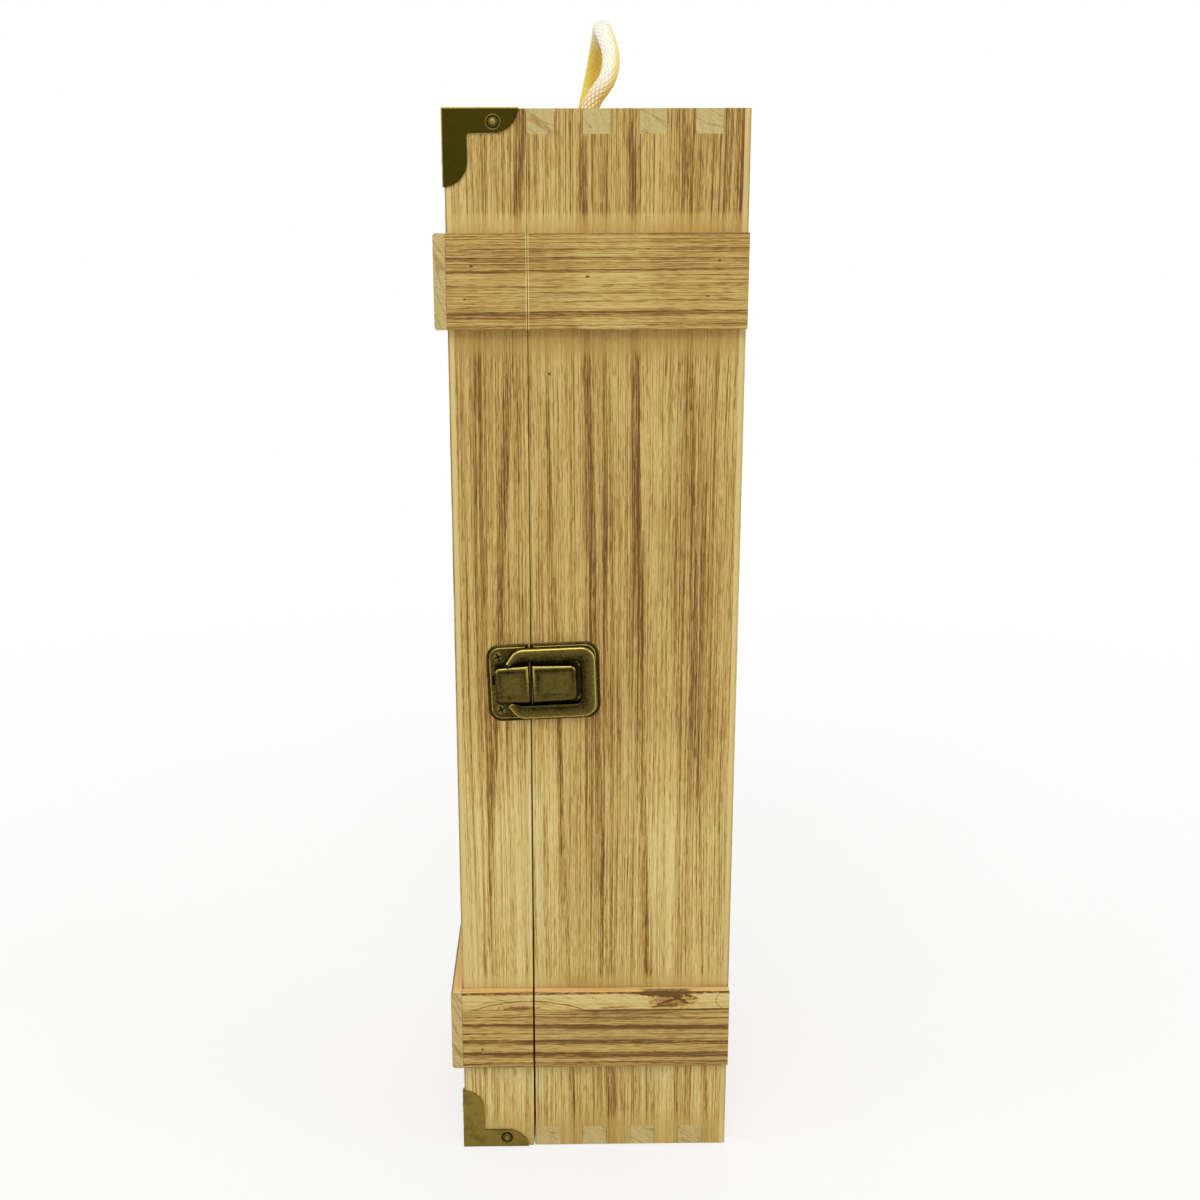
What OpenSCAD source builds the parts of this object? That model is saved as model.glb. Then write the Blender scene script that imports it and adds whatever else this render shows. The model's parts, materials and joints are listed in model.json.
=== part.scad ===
// Upright wooden wine box for one bottle.
// One finger-jointed case is glued up closed and then sawn into a tray and a lid. Battens run round it,
// metal corners guard the lid, a snap latch holds the front edge and a rope through the top carries it.
// The box stands on end: +Z is up, the lid is at -X, the latch faces -Y and the hinges are at +Y.
// The origin is the centre of the bottom face.

/* [Case] */
// Height of the standing case
case_h = 360; // [300:5:420]
// Depth from the lid's front panel to the tray's back panel, both included
case_d = 95; // [88:1:130]
// Width from the latch wall's outer face to the hinge wall's outer face
case_w = 105; // [96:1:140]
// Depth of the lid, its front panel included
lid_d = 25.5; // [24.5:0.5:34]
// Width of the saw cut that parts the lid from the tray
saw_cut = 0.5; // [0.3:0.1:0.8]
// Thickness of the walls and the end boards
wall_t = 7.5; // [7:0.5:10]
// Thickness of the plywood front and back panels
panel_t = 2; // [1.5:0.5:4]

/* [Finger joints] */
// Width of one finger
finger_w = 8.72; // [7.5:0.01:10]
// Gap between two neighbouring fingers
finger_gap = 0.1; // [0.05:0.05:0.3]

/* [Battens] */
// Height of every batten
batten_h = 29.5; // [26:0.5:36]
// Thickness of the battens on the two side walls
side_batten_t = 3.6; // [2.5:0.1:6]
// Thickness of the battens on the front panel
front_batten_t = 3.85; // [2.5:0.05:6]
// Distance from the top of the case down to the upper battens
upper_batten_drop = 37.1; // [30:0.1:60]
// Height of the lower battens' lower edge above the bottom
lower_batten_z = 34; // [30:0.5:60]
// Radius of the worn outer edges of the front battens
batten_round = 1; // [0.5:0.1:2]

/* [Corner brackets] */
// Thickness of the bracket metal
bracket_t = 0.6; // [0.4:0.1:1]
// Length of each bracket leg, from the outer corner
bracket_leg = 23.8; // [20:0.2:24]
// Width of each bracket leg
bracket_leg_w = 7.8; // [6:0.2:10]
// Radius of the fillet where two legs meet
bracket_fillet = 0.7; // [0.3:0.1:1.5]
// Distance of each nail from the bracket's outer corner, along its leg
nail_reach = 15.9; // [13:0.1:17]
// Diameter of the nails' domed heads
nail_head_d = 3.3; // [2.6:0.1:4]
// Height of the nails' domed heads
nail_head_h = 1; // [0.6:0.1:1.4]
// Diameter of the nails' shanks
nail_shank_d = 1.2; // [1:0.1:1.6]
// Length of the nails' shanks under the bracket
nail_l = 6; // [4:0.5:6.5]

/* [Hinges] */
// Height of each hinge
hinge_h = 22; // [18:1:25]
// Width of each leaf, from the hinge's axis
leaf_w = 11; // [9:0.5:14]
// Thickness of the leaves
leaf_t = 0.9; // [0.6:0.1:1.2]
// Diameter of the knuckles
knuckle_d = 3.4; // [3:0.1:4.5]
// Diameter of the hinge pins
hinge_pin_d = 1.6; // [1.2:0.1:1.8]
// Gap round the pins in the knuckles that turn
pin_play = 0.08; // [0.05:0.01:0.1]
// Gap between two knuckles
knuckle_gap = 0.2; // [0.1:0.05:0.4]
// Radius of the leaves' outer corners
leaf_r = 1.5; // [0.5:0.1:2.5]
// Diameter of the hinge screws' heads
hinge_screw_head_d = 3.2; // [2.6:0.1:4]
// Diameter of the hinge screws' shanks
hinge_screw_shank_d = 1.8; // [1.4:0.1:2.2]
// Length of the hinge screws under their heads
hinge_screw_l = 8; // [6:0.5:9]

/* [Latch] */
// Height of the latch's centre above the bottom
latch_z = 177; // [120:1:240]
// Lean of the hand-fitted latch, anticlockwise as seen from outside
latch_tilt = 2.2; // [0:0.1:2.5]
// Thickness of the two latch plates
latch_plate_t = 0.8; // [0.6:0.1:1.2]
// Height of the two latch plates
latch_plate_h = 26.8; // [26:0.1:30]
// Distance from the seam to the lid plate's near end
lid_plate_near = 0.9; // [0.8:0.1:1.1]
// Distance from the seam to the lid plate's far end
lid_plate_far = 14.7; // [14:0.1:17]
// Radius of the lid plate's outer corners
lid_plate_r = 4.5; // [3:0.5:6]
// Distance from the seam to the catch plate's near end
catch_plate_near = 0.6; // [0.5:0.1:0.9]
// Distance from the seam to the catch plate's far end
catch_plate_far = 23.2; // [23:0.1:27]
// Radius of the catch plate's outer corners
catch_plate_r = 4; // [3:0.5:6]
// Distance from the seam to the axis that the ring swings on
ring_axis_x = 7.5; // [7:0.1:8]
// Height of the ring's axis above the plates
ring_axis_h = 1.75; // [1.7:0.05:2]
// Distance from the seam to the ring's free end
ring_far = 22.4; // [21:0.1:22.6]
// Height of the ring, from the top of one arm to the bottom of the other
ring_h = 24.4; // [23.6:0.1:25.6]
// Width of the ring's arms
ring_arm_w = 4.2; // [3.6:0.1:4.6]
// Width of the ring's end bar
ring_bar_w = 5.1; // [4:0.1:5.6]
// Thickness of the ring
ring_t = 2.5; // [2:0.1:3]
// Gap between the closed ring and the plates
ring_lift = 0.4; // [0.3:0.05:0.6]
// Radius of the ring's outer corners at its free end
ring_corner_r = 4; // [3:0.5:5]
// Width of the worn slope along the ring's edges
ring_edge = 0.6; // [0.3:0.1:0.9]
// Diameter of the round bar that the ring swings on
journal_d = 2.2; // [1.6:0.1:2.4]
// Gap round the ring's bar in its strap
journal_play = 0.08; // [0.05:0.01:0.1]
// Height of the strap and the catch above the plates
block_rise = 2.9; // [2.8:0.05:3.4]
// Height of the strap and the catch along the seam
block_h = 12; // [10:0.2:12.6]
// Distance from the seam to the near ends of the strap and the catch
block_near = 0.9; // [0.6:0.1:1.2]
// Distance from the seam to the far end of the strap that holds the ring
strap_far = 11.1; // [10.6:0.1:12]
// Distance from the seam to the far end of the catch
catch_far = 15.1; // [13:0.1:15.6]
// Radius of the outer corners of the strap and the catch
block_r = 1.8; // [1:0.1:3]
// Gap between the ring's arms and the bumps that it snaps over
snap_gap = 0.15; // [0.1:0.05:0.3]
// Diameter of the latch screws' heads
latch_screw_head_d = 3.1; // [2.6:0.1:3.6]
// Diameter of the latch screws' shanks
latch_screw_shank_d = 1.6; // [1.2:0.1:2]
// Length of the latch screws under their heads
latch_screw_l = 7; // [5:0.5:7.5]

/* [Rope handle] */
// Diameter of the rope
rope_d = 6; // [5:0.2:6.4]
// Diameter of the two rope holes
rope_hole_d = 7; // [6.8:0.1:9]
// Distance between the two rope holes
rope_hole_pitch = 50; // [40:1:60]
// Distance from the lid's front to the rope holes
rope_hole_x = 46; // [40:1:50]
// Height of the loop's centre line above the point where it bends
loop_rise = 28.5; // [26:0.5:40]
// Distance that the near leg of the loop bows out towards the tray's back
loop_bow = 6.5; // [0:0.5:7]
// Diameter of the knots that hold the rope inside
knot_d = 13; // [11:0.5:15]
// Length of the rope's tail below each knot
rope_tail = 9; // [5:1:15]

/* [Hidden] */
$fn = 48;
eps = 0.01;
// Distance that a cutting shape reaches past the face it cuts
past = 1;

// Where the two halves meet
seam_x = lid_d - case_d / 2;
lid_x0 = -case_d / 2 + panel_t;
lid_x1 = seam_x - saw_cut / 2;
tray_x0 = seam_x + saw_cut / 2;
tray_x1 = case_d / 2 - panel_t;
// The fingers are counted from the seam: even ones belong to the end boards, odd ones to the walls
finger_count = 2 * ceil(case_d / finger_w / 2);

upper_batten_z = case_h - upper_batten_drop - batten_h;
batten_heights = [lower_batten_z, upper_batten_z];
// The hinges sit on the battens of the hinge wall, so that their axis clears the battens' faces
hinge_y = case_w / 2 + side_batten_t;
leaf_screw_x = (leaf_w + knuckle_d / 2) / 2;
leaf_screw_margin = 2;
leaf_screw_z = hinge_h / 2 - hinge_screw_head_d / 2 - leaf_screw_margin;

// The crossed slots and the domes of all screw heads
cross_w = 0.5;
cross_l = 1.7;
cross_depth = 0.3;
screw_head_h = 0.5;

lid_screws = [[-10.3, 8.6], [-9.7, -9.8]];
catch_screws = [[16.9, 6.3], [16.9, -6.3]];
catch_screw_sink = 0.5;
ring_end_gap = 0.2;
ring_end_r = ring_axis_h - ring_end_gap;
ring_slope_x = 4.8;
ring_root_gap = 0.3;
journal_root = 1;
block_edge = 0.5;
bump_d = 2.4;
bump_h = 1.8;
bump_from_end = 3;
strap_slot_w = 0.9;
strap_slot_h = 3.6;
strap_slot_from_end = 1.4;

handle_x = rope_hole_x - case_d / 2;
handle_gap = 0.3;
handle_axis_z = case_h + rope_d / 2 + handle_gap;
knot_seat = 0.86;
tail_root = 1;
// The loop's centre line from the near leg over to the far leg, as shares of the bow, of half the hole
// pitch and of the rise
loop_route = [
    [0, -1, 0],
    [0.26, -1, 0.13],
    [0.76, -1, 0.29],
    [0.96, -0.97, 0.43],
    [1, -0.9, 0.57],
    [0.91, -0.77, 0.7],
    [0.74, -0.57, 0.84],
    [0.62, -0.3, 0.95],
    [0.57, 0, 1],
    [0.58, 0.32, 0.96],
    [0.54, 0.61, 0.86],
    [0.44, 0.84, 0.71],
    [0.28, 0.97, 0.51],
    [0.09, 1, 0.3],
    [0, 1, 0.14],
    [0, 1, 0],
];
rope_sides = 12;
rings_per_span = 3;
cap_angles = [80, 55, 28];

light_wood = [0.82, 0.74, 0.5];
torched_wood = [0.7, 0.56, 0.34];
plywood = [0.84, 0.79, 0.58];
bronze = [0.35, 0.29, 0.12];
worn_bronze = [0.5, 0.43, 0.2];
rope_cream = [0.88, 0.8, 0.62];

// ---- Shared shapes ----

// A dome of base diameter d and height h, standing on z = 0
module dome(d, h) {
    r = (d * d / 4 + h * h) / (2 * h);
    intersection() {
        translate([0, 0, h - r])
            sphere(r = r);
        cylinder(d = d, h = h);
    }
}

// A shank of length l that hangs below z = 0
module shank(d, l) {
    translate([0, 0, -l])
        cylinder(d = d, h = l);
}

// A domed screw with a crossed slot, its head standing on z = 0
module screw(head_d, head_h, shank_d, l) {
    difference() {
        union() {
            dome(head_d, head_h);
            shank(shank_d, l);
        }
        for (turn = [0, 90])
            rotate(turn)
                translate([-cross_l / 2, -cross_w / 2, head_h - cross_depth])
                    cube([cross_l, cross_w, head_h]);
    }
}

// A rectangle from x0 to x1 and h high, with both corners at x1 rounded; x1 may lie on either side of x0
module end_rounded(x0, x1, h, r) {
    side = sign(x1 - x0);
    for (up = [-1, 1])
        translate([x1 - side * r, up * (h / 2 - r)])
            circle(r = r);
    translate([min(x1, x1 - side * r), -h / 2 + r])
        square([r, h - 2 * r]);
    translate([min(x0, x1 - side * r), -h / 2])
        square([abs(x1 - side * r - x0), h]);
}

// ---- Case boards ----

// The room that the fingers of crossing boards take at both ends, over a depth from y0 to y1
module finger_room(first, y0, y1, z0, z1) {
    for (k = [first - finger_count : 2 : finger_count])
        translate([seam_x + k * finger_w - finger_gap / 2, y0, z0])
            cube([finger_w + finger_gap, y1 - y0, z1 - z0]);
}

// The near wall between x0 and x1, with room for the end boards' even fingers
module near_wall(x0, x1) {
    difference() {
        translate([x0, -case_w / 2, 0])
            cube([x1 - x0, wall_t, case_h]);
        for (z = [-past, case_h - wall_t])
            finger_room(0, -case_w / 2 - past, -case_w / 2 + wall_t + past, z, z + wall_t + past);
    }
}

module far_wall(x0, x1) {
    mirror([0, 1, 0])
        near_wall(x0, x1);
}

// An end board between x0 and x1 whose lower face is at z, with room for the walls' odd fingers
module end_board(x0, x1, z) {
    difference() {
        translate([x0, -case_w / 2, z])
            cube([x1 - x0, case_w, wall_t]);
        for (side = [0, 1])
            mirror([0, side, 0])
                finger_room(1, -case_w / 2 - past, -case_w / 2 + wall_t, z - past, z + wall_t + past);
    }
}

module tray_side_near() {
    color(light_wood)
        difference() {
            near_wall(tray_x0, tray_x1);
            at_latch()
                latch_shanks(catch_screws);
        }
}

module tray_side_far() {
    color(light_wood)
        difference() {
            far_wall(tray_x0, tray_x1);
            hinge_shanks(1);
        }
}

module tray_end_top() {
    color(light_wood)
        difference() {
            end_board(tray_x0, tray_x1, case_h - wall_t);
            for (side = [-1, 1])
                translate([handle_x, side * rope_hole_pitch / 2, case_h - wall_t - past])
                    cylinder(d = rope_hole_d, h = wall_t + 2 * past);
        }
}

module tray_end_bottom() {
    color(light_wood)
        end_board(tray_x0, tray_x1, 0);
}

module tray_back_panel() {
    color(plywood)
        translate([tray_x1, -case_w / 2, 0])
            cube([panel_t, case_w, case_h]);
}

module lid_side_near() {
    color(light_wood)
        difference() {
            near_wall(lid_x0, lid_x1);
            at_latch()
                latch_shanks(lid_screws);
            bracket_bites();
        }
}

module lid_side_far() {
    color(light_wood)
        difference() {
            far_wall(lid_x0, lid_x1);
            hinge_shanks(-1);
            bracket_bites();
        }
}

module lid_end_top() {
    color(light_wood)
        difference() {
            end_board(lid_x0, lid_x1, case_h - wall_t);
            bracket_bites();
        }
}

module lid_end_bottom() {
    color(light_wood)
        difference() {
            end_board(lid_x0, lid_x1, 0);
            bracket_bites();
        }
}

module lid_front_panel() {
    color(plywood)
        difference() {
            translate([-case_d / 2, -case_w / 2, 0])
                cube([panel_t, case_w, case_h]);
            bracket_bites();
        }
}

// ---- Battens ----

module near_batten(x0, x1, z) {
    translate([x0, -case_w / 2 - side_batten_t, z])
        cube([x1 - x0, side_batten_t, batten_h]);
}

module far_batten(x0, x1, z, side) {
    difference() {
        mirror([0, 1, 0])
            near_batten(x0, x1, z);
        hinge_shanks(side);
    }
}

// A batten across the front, as long as the case and both side battens, with rounded outer edges
module front_batten(z) {
    l = case_w + 2 * side_batten_t;
    translate([-case_d / 2, -l / 2, z + batten_h / 2])
        rotate([-90, 0, 0])
            linear_extrude(l)
                end_rounded(0, -front_batten_t, batten_h, batten_round);
}

module tray_batten_near_lower() {
    color(torched_wood)
        near_batten(tray_x0, case_d / 2, lower_batten_z);
}

module tray_batten_near_upper() {
    color(torched_wood)
        near_batten(tray_x0, case_d / 2, upper_batten_z);
}

module tray_batten_far_lower() {
    color(torched_wood)
        far_batten(tray_x0, case_d / 2, lower_batten_z, 1);
}

module tray_batten_far_upper() {
    color(torched_wood)
        far_batten(tray_x0, case_d / 2, upper_batten_z, 1);
}

module lid_batten_near_lower() {
    color(torched_wood)
        near_batten(-case_d / 2, lid_x1, lower_batten_z);
}

module lid_batten_near_upper() {
    color(torched_wood)
        near_batten(-case_d / 2, lid_x1, upper_batten_z);
}

module lid_batten_far_lower() {
    color(torched_wood)
        far_batten(-case_d / 2, lid_x1, lower_batten_z, -1);
}

module lid_batten_far_upper() {
    color(torched_wood)
        far_batten(-case_d / 2, lid_x1, upper_batten_z, -1);
}

module front_batten_lower() {
    color(torched_wood)
        front_batten(lower_batten_z);
}

module front_batten_upper() {
    color(torched_wood)
        front_batten(upper_batten_z);
}

// ---- Corner brackets ----

// One leg of a bracket face along x, with a quarter-round end that is longest at the case's edge
module bracket_leg_outline() {
    w = bracket_leg_w;
    square([bracket_leg - w, w]);
    translate([bracket_leg - w, 0])
        intersection() {
            circle(r = w);
            square(w);
        }
}

// One face of a bracket: two legs that meet at the corner, with a small fillet between them
module bracket_face() {
    translate([-bracket_t, -bracket_t]) {
        bracket_leg_outline();
        mirror([1, -1])
            bracket_leg_outline();
        translate([bracket_leg_w, bracket_leg_w])
            difference() {
                square(bracket_fillet);
                translate([bracket_fillet, bracket_fillet])
                    circle(r = bracket_fillet);
            }
    }
}

// A bracket round the corner of a case that fills the positive octant
module bracket() {
    translate([0, 0, -bracket_t])
        linear_extrude(bracket_t)
            bracket_face();
    rotate([90, 0, 0])
        linear_extrude(bracket_t)
            bracket_face();
    rotate([0, -90, 0])
        linear_extrude(bracket_t)
            bracket_face();
}

// Puts a child on the faces round the corner, at each face's nail, +Z outwards. The bottom brackets have
// no nail underneath, where the box stands
module at_bracket_nails(end) {
    a = nail_reach - bracket_t;
    b = (bracket_leg_w - bracket_t) / 2;
    if (end > 0)
        translate([b, a, -bracket_t])
            rotate([180, 0, 0])
                children();
    translate([a, -bracket_t, b])
        rotate([90, 0, 0])
            children();
    translate([-bracket_t, b, a])
        rotate([0, -90, 0])
            children();
}

// Puts a child that is made round a corner of the positive octant on one of the lid's four corners.
// The bottom brackets are let into the wood, so that the box stands flat
module at_lid_corner(side, end) {
    translate([-case_d / 2, 0, case_h / 2])
        mirror([0, (side + 1) / 2, 0])
            mirror([0, 0, (end + 1) / 2])
                translate([0, -case_w / 2, -case_h / 2 + (end < 0 ? bracket_t : 0)])
                    children();
}

// What the four brackets and their nails take out of the lid's wood
module bracket_bites() {
    for (side = [-1, 1])
        for (end = [-1, 1])
            at_lid_corner(side, end) {
                at_bracket_nails(end)
                    shank(nail_shank_d, nail_l);
                bracket();
            }
}

module lid_bracket(side, end) {
    color(bronze)
        difference() {
            at_lid_corner(side, end)
                bracket();
            at_lid_corner(side, end)
                at_bracket_nails(end)
                    shank(nail_shank_d, nail_l);
        }
}

module bracket_near_bottom() {
    lid_bracket(-1, -1);
}

module bracket_near_top() {
    lid_bracket(-1, 1);
}

module bracket_far_bottom() {
    lid_bracket(1, -1);
}

module bracket_far_top() {
    lid_bracket(1, 1);
}

module bracket_nails() {
    color(worn_bronze)
        for (side = [-1, 1])
            for (end = [-1, 1])
                at_lid_corner(side, end)
                    at_bracket_nails(end) {
                        dome(nail_head_d, nail_head_h);
                        shank(nail_shank_d, nail_l);
                    }
}

// ---- Hinges ----

// Puts a child at the middle of both hinges, on the battens' face, +Y outwards
module at_hinges() {
    for (z = batten_heights)
        at_hinge(z)
            children();
}

module at_hinge(batten_z) {
    translate([seam_x, hinge_y, batten_z + batten_h / 2])
        children();
}

// Puts a child at both screws of a leaf; side is 1 on the tray and -1 on the lid
module at_leaf_screws(side) {
    for (up = [-1, 1])
        translate([side * leaf_screw_x, leaf_t, up * leaf_screw_z])
            rotate([-90, 0, 0])
                children();
}

module hinge_shanks(side) {
    at_hinges()
        at_leaf_screws(side)
            shank(hinge_screw_shank_d, hinge_screw_l);
}

// One knuckle from z0 to z1 with the strip that joins it to its leaf
module knuckle(side, z0, z1) {
    translate([0, knuckle_d / 2, z0])
        cylinder(d = knuckle_d, h = z1 - z0);
    translate([min(0, side * knuckle_d), 0, z0])
        cube([knuckle_d, leaf_t, z1 - z0]);
}

// The tray's leaf carries the two outer knuckles and holds the pin; the lid's carries the middle one
module hinge_leaf(side) {
    third = hinge_h / 6;
    clear = knuckle_d / 2 + knuckle_gap;
    bore = side > 0 ? hinge_pin_d : hinge_pin_d + 2 * pin_play;
    difference() {
        union() {
            rotate([-90, 0, 0])
                linear_extrude(leaf_t)
                    end_rounded(side * clear, side * leaf_w, hinge_h, leaf_r);
            if (side > 0) {
                knuckle(side, -hinge_h / 2, -third - knuckle_gap / 2);
                knuckle(side, third + knuckle_gap / 2, hinge_h / 2);
            } else {
                knuckle(side, -third + knuckle_gap / 2, third - knuckle_gap / 2);
            }
        }
        translate([0, knuckle_d / 2, -hinge_h])
            cylinder(d = bore, h = 2 * hinge_h);
        at_leaf_screws(side)
            shank(hinge_screw_shank_d, hinge_screw_l);
    }
}

module hinge_pin() {
    translate([0, knuckle_d / 2, -hinge_h / 2])
        cylinder(d = hinge_pin_d, h = hinge_h);
}

module hinge_lower_tray_leaf() {
    color(bronze)
        at_hinge(lower_batten_z)
            hinge_leaf(1);
}

module hinge_lower_lid_leaf() {
    color(bronze)
        at_hinge(lower_batten_z)
            hinge_leaf(-1);
}

module hinge_lower_pin() {
    color(worn_bronze)
        at_hinge(lower_batten_z)
            hinge_pin();
}

module hinge_upper_tray_leaf() {
    color(bronze)
        at_hinge(upper_batten_z)
            hinge_leaf(1);
}

module hinge_upper_lid_leaf() {
    color(bronze)
        at_hinge(upper_batten_z)
            hinge_leaf(-1);
}

module hinge_upper_pin() {
    color(worn_bronze)
        at_hinge(upper_batten_z)
            hinge_pin();
}

module hinge_screws(side) {
    color(worn_bronze)
        at_hinges()
            at_leaf_screws(side)
                screw(hinge_screw_head_d, screw_head_h, hinge_screw_shank_d, hinge_screw_l);
}

module hinge_tray_screws() {
    hinge_screws(1);
}

module hinge_lid_screws() {
    hinge_screws(-1);
}

// ---- Latch ----
// The latch is drawn flat: x runs across the seam towards the tray, y up the wall and z outwards

module at_latch() {
    translate([seam_x, -case_w / 2, latch_z])
        rotate([90, 0, 0])
            rotate(latch_tilt)
                children();
}

module latch_shanks(places) {
    for (p = places)
        translate([p[0], p[1], latch_plate_t])
            shank(latch_screw_shank_d, latch_screw_l);
}

// A low block on a plate, from x0 to x1, with rounded corners at x1 and sloping edges
module pillow(x0, x1) {
    hull() {
        linear_extrude(block_rise - block_edge)
            end_rounded(x0, x1, block_h, block_r);
        linear_extrude(block_rise)
            end_rounded(x0 + sign(x1 - x0) * block_edge, x1 - sign(x1 - x0) * block_edge,
                block_h - 2 * block_edge, block_r - block_edge);
    }
}

// The lid's plate and the strap that is folded up out of it and over the ring's bar
module latch_lid_plate() {
    color(bronze)
        at_latch()
            difference() {
                union() {
                    linear_extrude(latch_plate_t)
                        end_rounded(-lid_plate_near, -lid_plate_far, latch_plate_h, lid_plate_r);
                    translate([0, 0, latch_plate_t])
                        pillow(-block_near, -strap_far);
                }
                translate([-ring_axis_x, latch_plate_h, latch_plate_t + ring_axis_h])
                    rotate([90, 0, 0])
                        cylinder(d = journal_d + 2 * journal_play, h = 2 * latch_plate_h);
                translate([-strap_far - strap_slot_from_end - strap_slot_w / 2, -strap_slot_h / 2, -past])
                    cube([strap_slot_w, strap_slot_h, latch_plate_t + 2 * past]);
                latch_shanks(lid_screws);
            }
}

// The tray's plate with the catch that the ring drops round, and the two bumps that it snaps over
module latch_catch_plate() {
    bump_y = ring_h / 2 - ring_arm_w - snap_gap - bump_d / 2;
    color(bronze)
        at_latch()
            difference() {
                union() {
                    linear_extrude(latch_plate_t)
                        end_rounded(catch_plate_near, catch_plate_far, latch_plate_h, catch_plate_r);
                    translate([0, 0, latch_plate_t]) {
                        pillow(block_near, catch_far);
                        for (up = [-1, 1])
                            translate([catch_far - bump_from_end, up * bump_y, 0])
                                cylinder(d = bump_d, h = bump_h);
                    }
                }
                for (p = catch_screws)
                    translate([p[0], p[1], latch_plate_t - catch_screw_sink])
                        cylinder(d = latch_screw_head_d, h = catch_screw_sink + eps);
                latch_shanks(catch_screws);
            }
}

// The outline round the ring, inset by d; its root corners are cut off at a slope
module ring_outline(d) {
    intersection() {
        end_rounded(-ring_axis_x - ring_end_r, ring_far - d, ring_h - 2 * d, ring_corner_r - d);
        polygon([
            [-ring_slope_x + d, ring_h / 2],
            [-ring_axis_x - ring_end_r + d, block_h / 2 + ring_root_gap],
            [-ring_axis_x - ring_end_r + d, -block_h / 2 - ring_root_gap],
            [-ring_slope_x + d, -ring_h / 2],
            [ring_far, -ring_h / 2],
            [ring_far, ring_h / 2],
        ]);
    }
}

// The window inside the ring, outset by d
module ring_window(d) {
    x1 = ring_far - ring_bar_w + d;
    h = ring_h - 2 * ring_arm_w + 2 * d;
    intersection() {
        end_rounded(-ring_axis_x, x1, h, ring_corner_r / 2 - d / 2);
        polygon([
            [-ring_axis_x + ring_end_r - d, -block_h / 2 - ring_root_gap],
            [-ring_axis_x + ring_end_r - d, block_h / 2 + ring_root_gap],
            [-ring_slope_x + ring_end_r - d, h / 2],
            [x1, h / 2],
            [x1, -h / 2],
            [-ring_slope_x + ring_end_r - d, -h / 2],
        ]);
    }
}

// The ring: two arms and an end bar round the catch, and a round bar in the strap
module latch_ring() {
    root_h = block_h + 2 * ring_root_gap;
    axis_z = latch_plate_t + ring_axis_h;
    color(worn_bronze)
        at_latch() {
            difference() {
                translate([0, 0, latch_plate_t + ring_lift])
                    hull() {
                        linear_extrude(ring_t - ring_edge)
                            ring_outline(0);
                        linear_extrude(ring_t)
                            ring_outline(ring_edge);
                    }
                translate([0, 0, latch_plate_t + ring_lift])
                    hull() {
                        translate([0, 0, -past])
                            linear_extrude(past + ring_t - ring_edge)
                                ring_window(0);
                        linear_extrude(ring_t + eps)
                            ring_window(ring_edge / 2);
                    }
                translate([-ring_axis_x - ring_end_r - past, -root_h / 2, 0])
                    cube([2 * ring_end_r + past, root_h, axis_z + ring_t]);
                difference() {
                    translate([-ring_axis_x - ring_end_r - past, -ring_h, 0])
                        cube([ring_end_r + past, 2 * ring_h, axis_z + ring_t]);
                    translate([-ring_axis_x, ring_h, axis_z])
                        rotate([90, 0, 0])
                            cylinder(r = ring_end_r, h = 2 * ring_h);
                }
            }
            translate([-ring_axis_x, root_h / 2 + journal_root, axis_z])
                rotate([90, 0, 0])
                    cylinder(d = journal_d, h = root_h + 2 * journal_root);
        }
}

module latch_lid_screws() {
    color(worn_bronze)
        at_latch()
            for (p = lid_screws)
                translate([p[0], p[1], latch_plate_t])
                    screw(latch_screw_head_d, screw_head_h, latch_screw_shank_d, latch_screw_l);
}

module latch_catch_screws() {
    color(worn_bronze)
        at_latch()
            for (p = catch_screws)
                translate([p[0], p[1], latch_plate_t - catch_screw_sink])
                    screw(latch_screw_head_d, screw_head_h, latch_screw_shank_d,
                        latch_screw_l - catch_screw_sink);
}

// ---- Rope handle ----

function unit(v) = v / norm(v);

// A point on the smooth curve through a, b, c and d, at share t between b and c
function curve(a, b, c, d, t) =
    0.5 * (2 * b + (c - a) * t + (2 * a - 5 * b + 4 * c - d) * t * t + (3 * b - a - 3 * c + d) * t * t * t);

// A ring of points of radius r round centre c, square to direction t
function ring(c, t, r) =
    let (u = unit(cross([1, 0, 0], t)), v = cross(t, u))
        [for (i = [0 : rope_sides - 1])
            let (a = 360 * i / rope_sides)
                c + r * (cos(a) * u + sin(a) * v)];

// The loop is one tube along its route, with round ends about the line that it swings on
module rope_loop() {
    r = rope_d / 2;
    last = len(loop_route) - 1;
    knots = [for (p = loop_route)
        [handle_x + p[0] * loop_bow, p[1] * rope_hole_pitch / 2, handle_axis_z + p[2] * loop_rise]];
    line = [for (i = [0 : last - 1])
        for (j = [0 : rings_per_span - 1])
            curve(knots[max(i - 1, 0)], knots[i], knots[i + 1], knots[min(i + 2, last)], j / rings_per_span),
        knots[last]];
    n = len(line);
    up = [0, 0, 1];
    rings = concat(
        [for (a = cap_angles) ring(line[0] - up * r * sin(a), up, r * cos(a))],
        [for (i = [0 : n - 1])
            ring(line[i], i == 0 ? up : i == n - 1 ? -up : unit(line[i + 1] - line[i - 1]), r)],
        [for (i = [len(cap_angles) - 1 : -1 : 0])
            ring(line[n - 1] - up * r * sin(cap_angles[i]), -up, r * cos(cap_angles[i]))]
    );
    m = rope_sides;
    count = len(rings);
    color(rope_cream)
        polyhedron(
            points = [for (one = rings) each one],
            faces = concat(
                [[for (i = [0 : m - 1]) i]],
                [for (k = [0 : count - 2])
                    for (i = [0 : m - 1])
                        let (a = k * m + i, b = k * m + (i + 1) % m)
                            each [[a, a + m, b], [b, a + m, b + m]]],
                [[for (i = [m - 1 : -1 : 0]) (count - 1) * m + i]]
            )
        );
}

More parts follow.
